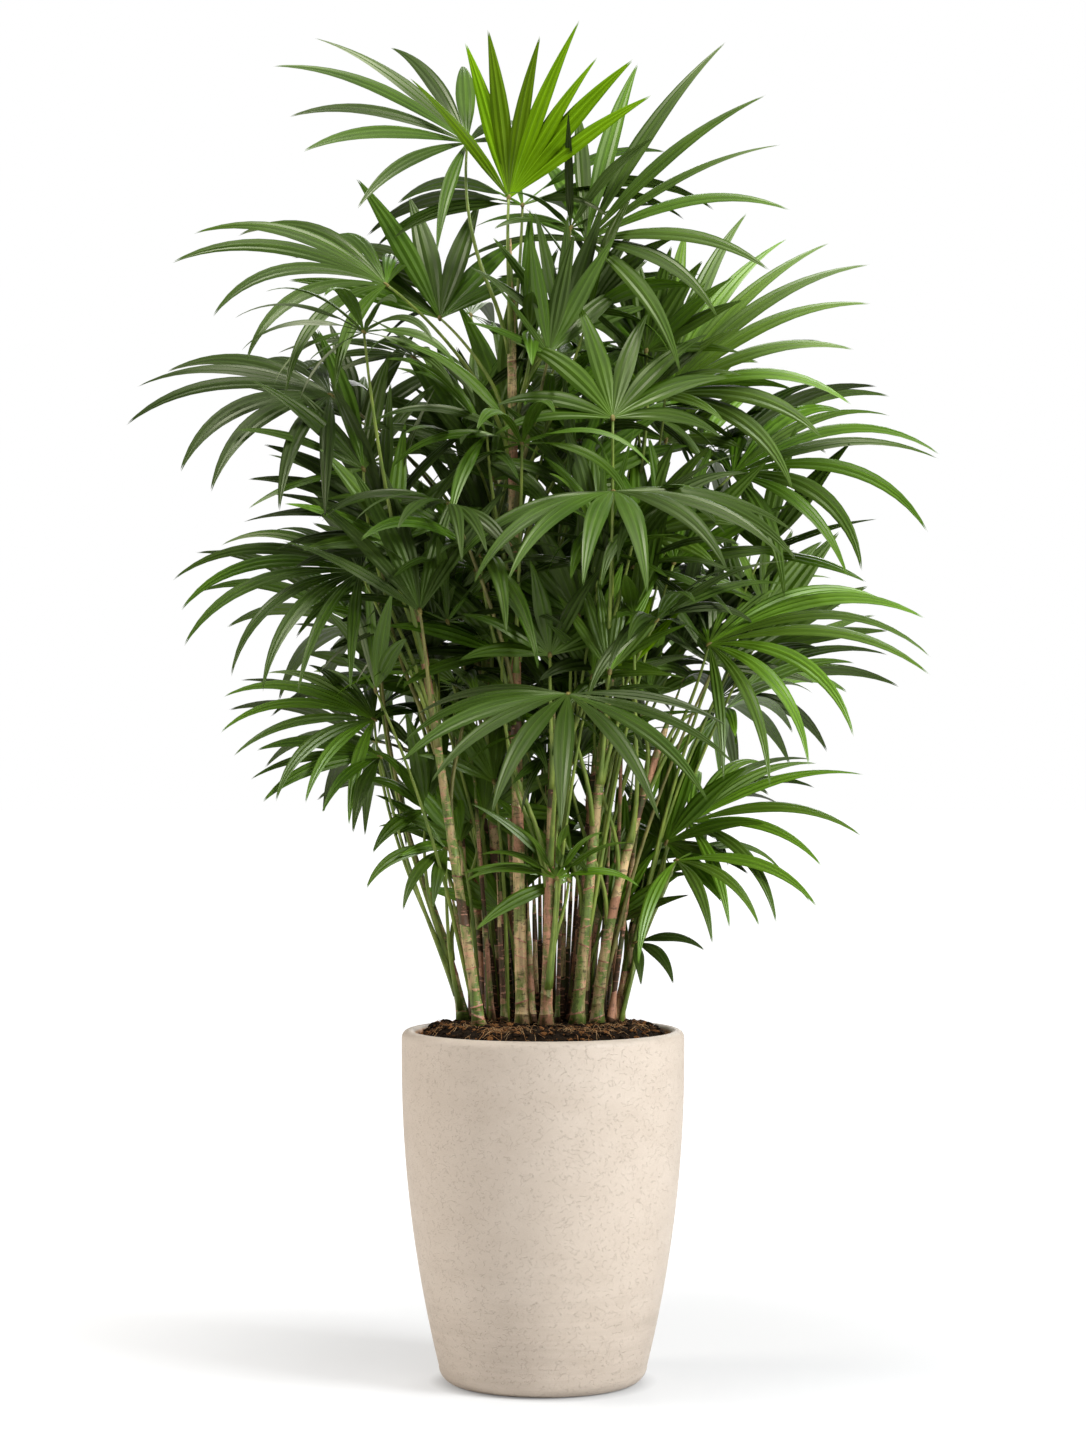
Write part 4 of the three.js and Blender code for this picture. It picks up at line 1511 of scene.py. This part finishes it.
    def _front(self, number: int) -> Spray:
        """A frond of middle size at the crown's front, one in three of them low on the right."""
        right = number % 3 == 2
        habit, tallest = (RIGHT_FRONT, self.tallest_right) if right else (LEFT_FRONT, self.tallest_left)
        seed, stream, index, cane = habit.start(number)
        way = stream.between(*habit.way)
        hub = self.lowest_front + (tallest - self.lowest_front) * (number + stream.next()) / self.fronts
        leaves = min(hub - stream.between(*habit.rise), cane.tip - self.front_below)
        frond = Frond(index, leaves, way, stream.between(*habit.reach), hub, habit.aim(way, stream),
                      stream.between(*habit.pitch), *habit.drawn(stream), way)
        return self._added(frond, seed, stream.pick(habit.tones))

    def sprays(self) -> list[Spray]:
        """Every frond of the crown."""
        held = [self._found(frond, i + 1) for i, frond in enumerate(FRONDS)]
        kept = sum(len(s.blades) for s in held)
        LOG.info("%d leaflets of %d found again in the solids", kept, sum(f.count for f in FRONDS))
        topped = [i + 1 for i in range(len(CANES)) if i + 1 != self.bare_cane]
        return [
            *held,
            *(self._tuft(index, turn) for index in topped for turn in range(self.tufts)),
            *(self._filler(i) for i in range(self.fillers)),
            *(self._upright(i) for i in range(self.uprights)),
            *(self._climber(i) for i in range(self.climbers)),
            *(self._front(i) for i in range(self.fronts)),
            *(self._sucker(i) for i in range(self.suckers)),
            *(self._added(frond, ACCENT_SEED + i, Tone.FRESH) for i, frond in enumerate(ACCENTS)),
        ]


class Green(NamedTuple):
    """The greens of a tone, from deep to bright, and the strength and the tint of its gloss."""

    deep: Colour
    bright: Colour
    shine: float
    sheen: Colour = (0.97, 1.0, 0.66)


GREENS = {
    Tone.OLD: Green((0.017, 0.036, 0.003), (0.032, 0.060, 0.005), 0.32),
    Tone.GROWN: Green((0.021, 0.051, 0.001), (0.041, 0.084, 0.002), 0.34),
    Tone.FRESH: Green((0.046, 0.096, 0.003), (0.082, 0.152, 0.008), 0.46, (0.95, 1.0, 0.80)),
    Tone.YOUNG: Green((0.050, 0.100, 0.0005), (0.080, 0.145, 0.001), 0.06),
}


@dataclass
class Foliage:
    """The leaflets of every frond as pleated blades with toothed tips, one piece for each tone."""

    growth: Growth
    seed: int = 4000
    width: float = 0.0288
    slender: float = 0.065
    least: float = 0.0110
    room: float = 0.46
    narrow: float = 0.3
    narrow_angle: float = 300
    girths: Pair = (0.80, 1.0)
    young_share: float = 1.38
    fresh_share: float = 1.14
    broad_share: float = 1.35
    steep: float = 58
    rows: int = 15
    pleat: float = 0.0012
    pleat_length: float = 0.2
    camber: float = 0.14
    twist: float = 24
    roll: float = 0.85
    rolled_from: float = 0.3
    outward: float = 1.1

    # How wide the leaflets of single fronds are, by the fronds' numbers.
    OWN_SHARES = {8: 0.84, 9: 1.0, 10: 0.92, 18: 0.84, 20: 0.84, 21: 0.84}
    # The share of the half width at shares of the length.
    OUTLINE = (
        (0.0, 0.10), (0.06, 0.22), (0.14, 0.44), (0.26, 0.78), (0.38, 0.98), (0.48, 1.0), (0.60, 0.88),
        (0.72, 0.68), (0.84, 0.43), (0.93, 0.22), (1.0, 0.06),
    )
    # From edge to edge: how far each rib ends short of the tip, and how high it is folded.
    TEETH = (-0.05, 0.0, -0.02, -0.045, -0.02, -0.01, -0.04)
    FOLDS = (0.1, 0.8, -0.4, 1.0, -0.4, 0.8, 0.1)
    # Three near shades of each tone, dealt at random so that leaflets of one frond differ a little; the
    # third, brighter and yellower, is painted light shining through the leaflet.
    SHADES_WITH_PAINTED_BACKLIGHT = ((0.75, 0.75, 0.75), (1.0, 1.0, 1.0), (1.30, 1.40, 1.0))

    def _pattern(self) -> Pattern:
        """A blade from -1 to 1 across and 0 to 1 along, folded sharply along its ribs, its tip toothed."""
        bm, columns = bmesh.new(), len(self.FOLDS) - 1
        bmesh.ops.create_grid(bm, x_segments=columns, y_segments=self.rows, size=1.0)
        for vert in bm.verts:
            rib = round((vert.co.x + 1) / 2 * columns)
            along = (vert.co.y + 1) / 2
            vert.co.y = along + (self.TEETH[rib] if along > 0.99 else 0.0)
            vert.co.z = self.FOLDS[rib]
        ribs = [e for e in bm.edges if abs(e.verts[0].co.x - e.verts[1].co.x) < 0.01 and not e.is_boundary]
        bmesh.ops.split_edges(bm, edges=ribs)
        return Pattern.of(bm)

    def _materials(self, tone: Tone) -> list[bpy.types.Material]:
        """The shades of a tone."""
        green, made = GREENS[tone], []
        for i, shade in enumerate(self.SHADES_WITH_PAINTED_BACKLIGHT):
            deep, bright = (tuple(c * s for c, s in zip(end, shade)) for end in (green.deep, green.bright))
            finish = LeafFinish(f"leaf_{tone.value}_{i}", deep, bright, green.shine, green.sheen)
            made.append(finish.material())
        return made

    def _share(self, spray: Spray) -> float:
        """How wide a frond's leaflets are, as a share of the usual width."""
        share = self.fresh_share if spray.tone is Tone.FRESH else 1.0
        share = self.broad_share if spray.frond.pitch > self.steep else share
        share = self.young_share if spray.tone is Tone.YOUNG else share
        return self.OWN_SHARES.get(spray.seed, share)

    def _rolled(self, rows: Rows, faces: float, twist: float, shares: np.ndarray) -> Rows:
        """The rows, rolled about the leaflet's own line until it faces up and outward.

        Args:
            rows: The leaflet's frames.
            faces: The way that the frond faces.
            twist: A further roll at the tip, in radians.
            shares: The share of the leaflet's length at each row.

        Returns:
            The rolled frames.
        """
        along = np.cross(rows.up, rows.side)
        towards = level(faces) * self.outward + UP
        facing = unit(towards - along * (along @ towards)[:, None])
        weight = (self.roll * np.clip(shares / self.rolled_from, 0, 1))[:, None]
        up = unit(rows.up * (1 - weight) + facing * weight)
        side = np.cross(along, up)
        angle = (twist * shares)[:, None]
        return Rows(rows.centre, side * np.cos(angle) + up * np.sin(angle),
                    up * np.cos(angle) - side * np.sin(angle))

    def build(self, sprays: Sequence[Spray]) -> None:
        """Builds every leaflet.

        Args:
            sprays: The fronds.
        """
        pattern = self._pattern()
        place = np.stack(((pattern.points[:, 0] + 1) / 2, pattern.points[:, 1]), axis=1)
        profile = np.interp(pattern.shares, *zip(*self.OUTLINE))
        batches = {tone: Batch() for tone in Tone}
        for spray in sprays:
            stream, frond, share = Stream(spray.seed + self.seed), spray.frond, self._share(spray)
            for leaf, lift, size in spray.blades:
                rows = self.growth.blade(leaf, spray.fan, lift, size, pattern.shares)
                length = leaf.length * size
                room = math.radians(frond.opens / (frond.count - 1)) * length * self.room
                girth = min(self.width, self.least + length * self.slender, room)
                girth = girth * stream.between(*self.girths) * share
                narrowed = 1 - self.narrow * (2 * abs(leaf.angle) / self.narrow_angle) ** 2
                twist = math.radians(stream.between(-self.twist, self.twist))
                rolled = self._rolled(rows, frond.faces, twist, pattern.shares)
                deep = self.pleat * profile * min(1.0, length / self.pleat_length)
                points = pattern.bent(rolled, girth * narrowed / 2 * profile, deep, self.camber)
                # Each leaflet takes a shade at random; the brightest one is painted light shining through it.
                shade = int(stream.next() * len(self.SHADES_WITH_PAINTED_BACKLIGHT))
                batches[spray.tone].add(points, pattern.faces, shade, place)
        for tone, batch in batches.items():
            nodes = [s.node for s in sprays if s.node and s.tone is tone]
            piece = batch.object(f"leaflets_{tone.value}", self._materials(tone), map_name=BLADE_MAP)
            fit(piece, nodes)


@dataclass
class Stalks:
    """The stalks, their feet that clasp the canes and the small knots where the leaflets meet."""

    growth: Growth
    foot: float = 0.0032
    tip: float = 0.0017
    sides: int = 8
    rows: int = 16
    sheath: float = 0.6
    sheath_length: float = 0.12
    clasp: float = 0.045
    clasped: float = 0.16
    sunk: float = 0.7
    joins: float = 0.36
    knot: tuple[float, float, float] = (0.0032, 0.0052, 0.0024)
    olive_every: int = 3

    def _rows(self, spray: Spray, shares: np.ndarray) -> Rows:
        """The frames of a stalk, with a foot that runs down into its cane."""
        across = level(spray.frond.way + 90)
        if spray.cane is None:
            return stalk_rows(spray.stalk, shares, across)
        passed = (np.append(shares, self.joins) - self.clasped) / (1 - self.clasped)
        upper = stalk_rows(spray.stalk, np.clip(passed, 0, 1), across)
        low = self.growth.cane_axis(spray.cane, spray.frond.leaves - self.clasp)
        low += level(spray.frond.way) * self.growth.cane_radius(spray.cane, low[2]) * self.sunk
        clasping = np.array((low, spray.stalk[0], upper.centre[-1]))
        lower = stalk_rows(clasping, np.clip(shares / self.joins, 0, 1), across)
        below = (shares < self.joins)[:, None]
        pairs = ((lower.centre, upper.centre), (lower.side, upper.side), (lower.up, upper.up))
        return Rows(*(np.where(below, under, over[:-1]) for under, over in pairs))

    def build(self, sprays: Sequence[Spray]) -> None:
        """Builds every stalk and knot.

        Args:
            sprays: The fronds.
        """
        stem, bead = rod(self.sides, [i / self.rows for i in range(1, self.rows)]), ball(2)
        stalks, knots = Batch(), Batch()
        girth = self.foot + (self.tip - self.foot) * stem.shares
        sheath = 1 + self.sheath * np.exp(-stem.shares / self.sheath_length)
        for spray in sprays:
            points = stem.bent(self._rows(spray, stem.shares), girth * sheath, girth)
            olive = spray.tone is Tone.OLD and spray.seed % self.olive_every == 0
            stalks.add(points, stem.faces, int(olive))
            turn = np.array((spray.fan.side, spray.fan.axis, spray.fan.face))
            knots.add((bead.points * np.array(self.knot)) @ turn + spray.fan.hub, bead.faces)
        streaks = (90, 90, 30)
        greens = [finish.material() for finish in (
            PlainFinish("stalk_green", (0.20, 0.25, 0.040), (0.10, 0.15, 0.022), streaks, 1.0, 0.0002, 0.42),
            PlainFinish("stalk_olive", (0.20, 0.185, 0.05), (0.10, 0.095, 0.026), streaks, 1.0, 0.0002, 0.5),
        )]
        grains = (200, 200, 200)
        brown = PlainFinish("knot_olive", (0.20, 0.17, 0.035), (0.10, 0.075, 0.02), grains, 1.0, 0.0002, 0.6)
        fit(stalks.object("stalks", greens))
        fit(knots.object("hub_knots", [brown.material()]))


class Lamp(NamedTuple):
    """A square soft lamp: its place, the height on the Z axis that it looks at, its side and its light."""

    name: str
    place: tuple[float, float, float]
    looks_at: float
    side: float
    power: float
    colour: Colour = (1, 1, 1)


@dataclass
class Studio:
    """A pale floor, a white surround, soft lamps and the camera."""

    distance: float = 4.6
    eye: float = 0.886
    frame_height: float = 1.9548
    sensor: float = 36.0
    floor_size: float = 60.0
    floor_tone: float = 0.80
    floor_seen: float = 0.36
    glow: float = 1.07
    near_glow: float = 0.42
    pool: float = 2.7
    # A painted contact shadow: from these radii the floor's glow rises from a quarter to full round the pot's
    # foot.
    painted_contact_shadow: Spread = (0.112, 0.155, 0.25, 1.0)
    ambient: float = 0.23

    LAMPS = (
        Lamp("key", (3.3, -2.1, 2.9), 0.9, 1.6, 275, (0.95, 0.98, 1.0)),
        Lamp("side", (-3.5, 0.2, 2.2), 0.9, 1.4, 90, (1.0, 0.95, 0.88)),
        Lamp("top", (-0.3, -0.5, 4.0), 1.0, 1.2, 120),
        Lamp("back", (0.8, 3.4, 2.6), 1.0, 1.8, 60),
    )

    def _floor(self) -> None:
        """The pale floor, which glows to the eye, with a painted contact shadow where the glow fades round
        the pot's foot.
        """
        bm = bmesh.new()
        bmesh.ops.create_grid(bm, x_segments=2, y_segments=2, size=self.floor_size / 2)
        shader = Shader("pale_floor")
        seen = shader.node("ShaderNodeLightPath", out="Is Camera Ray")
        out = shader.far()
        far = 1 - (out * out * (1 / self.pool**2) + 1) ** -1
        # The glow, dimmed round the pot's foot as a painted contact shadow.
        glow_with_painted_shadow = seen * (far * (1 - self.near_glow) + self.near_glow) * out.spread(*self.painted_contact_shadow)
        material = shader.finish({
            "Base Color": shader.mix(seen, (self.floor_tone,) * 3, (self.floor_seen,) * 3),
            "Roughness": 0.9,
            "Specular IOR Level": 0.1,
            "Emission Color": shader.mix(glow_with_painted_shadow, (0, 0, 0), (1, 1, 1)),
            "Emission Strength": self.glow,
        })
        from_bmesh("studio_floor", bm, material)

    def _surround(self) -> None:
        """White to the eye, and dimmer as a light."""
        world = bpy.data.worlds.new("surround")
        world.use_nodes = True
        tree = world.node_tree
        sky = tree.nodes["Background"]
        rays = tree.nodes.new("ShaderNodeLightPath")
        strength = tree.nodes.new("ShaderNodeMapRange")
        strength.inputs["To Min"].default_value = self.ambient
        strength.inputs["To Max"].default_value = 1.0
        tree.links.new(rays.outputs["Is Camera Ray"], strength.inputs["Value"])
        tree.links.new(strength.outputs["Result"], sky.inputs["Strength"])
        sky.inputs["Color"].default_value = (1, 1, 1, 1)
        bpy.context.scene.world = world

    @staticmethod
    def _light(lamp: Lamp) -> None:
        """Hangs one lamp."""
        data = bpy.data.lights.new(lamp.name, "AREA")
        data.shape, data.size, data.energy, data.color = "SQUARE", lamp.side, lamp.power, lamp.colour
        made = linked(lamp.name, data)
        made.location = lamp.place
        way = Vector((0, 0, lamp.looks_at)) - Vector(lamp.place)
        made.rotation_euler = way.to_track_quat("-Z", "Y").to_euler()

    def camera(self) -> None:
        """The camera, level and straight ahead of the plant."""
        data = bpy.data.cameras.new("camera")
        data.sensor_width = self.sensor
        data.lens = self.distance * self.sensor / self.frame_height
        camera = linked("camera", data)
        camera.location = (0, -self.distance, self.eye)
        camera.rotation_euler = (math.radians(90), 0, 0)
        bpy.context.scene.camera = camera

    def build(self) -> None:
        """Sets the floor, the surround and the lamps."""
        self._floor()
        self._surround()
        for lamp in self.LAMPS:
            self._light(lamp)
        bpy.context.scene.view_settings.view_transform = "Standard"


def main() -> None:
    """Builds the plant round the frame, piece by piece."""
    logging.basicConfig(level=logging.INFO, format="%(name)s: %(message)s")
    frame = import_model()
    studio = Studio()
    studio.camera()
    _, pot_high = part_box("pot")
    _, soil_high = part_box("soil")
    cane_low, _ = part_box("cane_05")
    growth = Growth(foot=cane_low.z)
    Pot(height=pot_high.z, radius=pot_high.x).build()
    SoilBed(top=soil_high.z, edge=soil_high.x - SOIL_CLEAR).build()
    Clump(growth).build()
    sprays = Crown(growth, frame["nodes"]).sprays()
    Stalks(growth).build(sprays)
    Foliage(growth).build(sprays)
    studio.build()


if __name__ == "__main__":
    main()
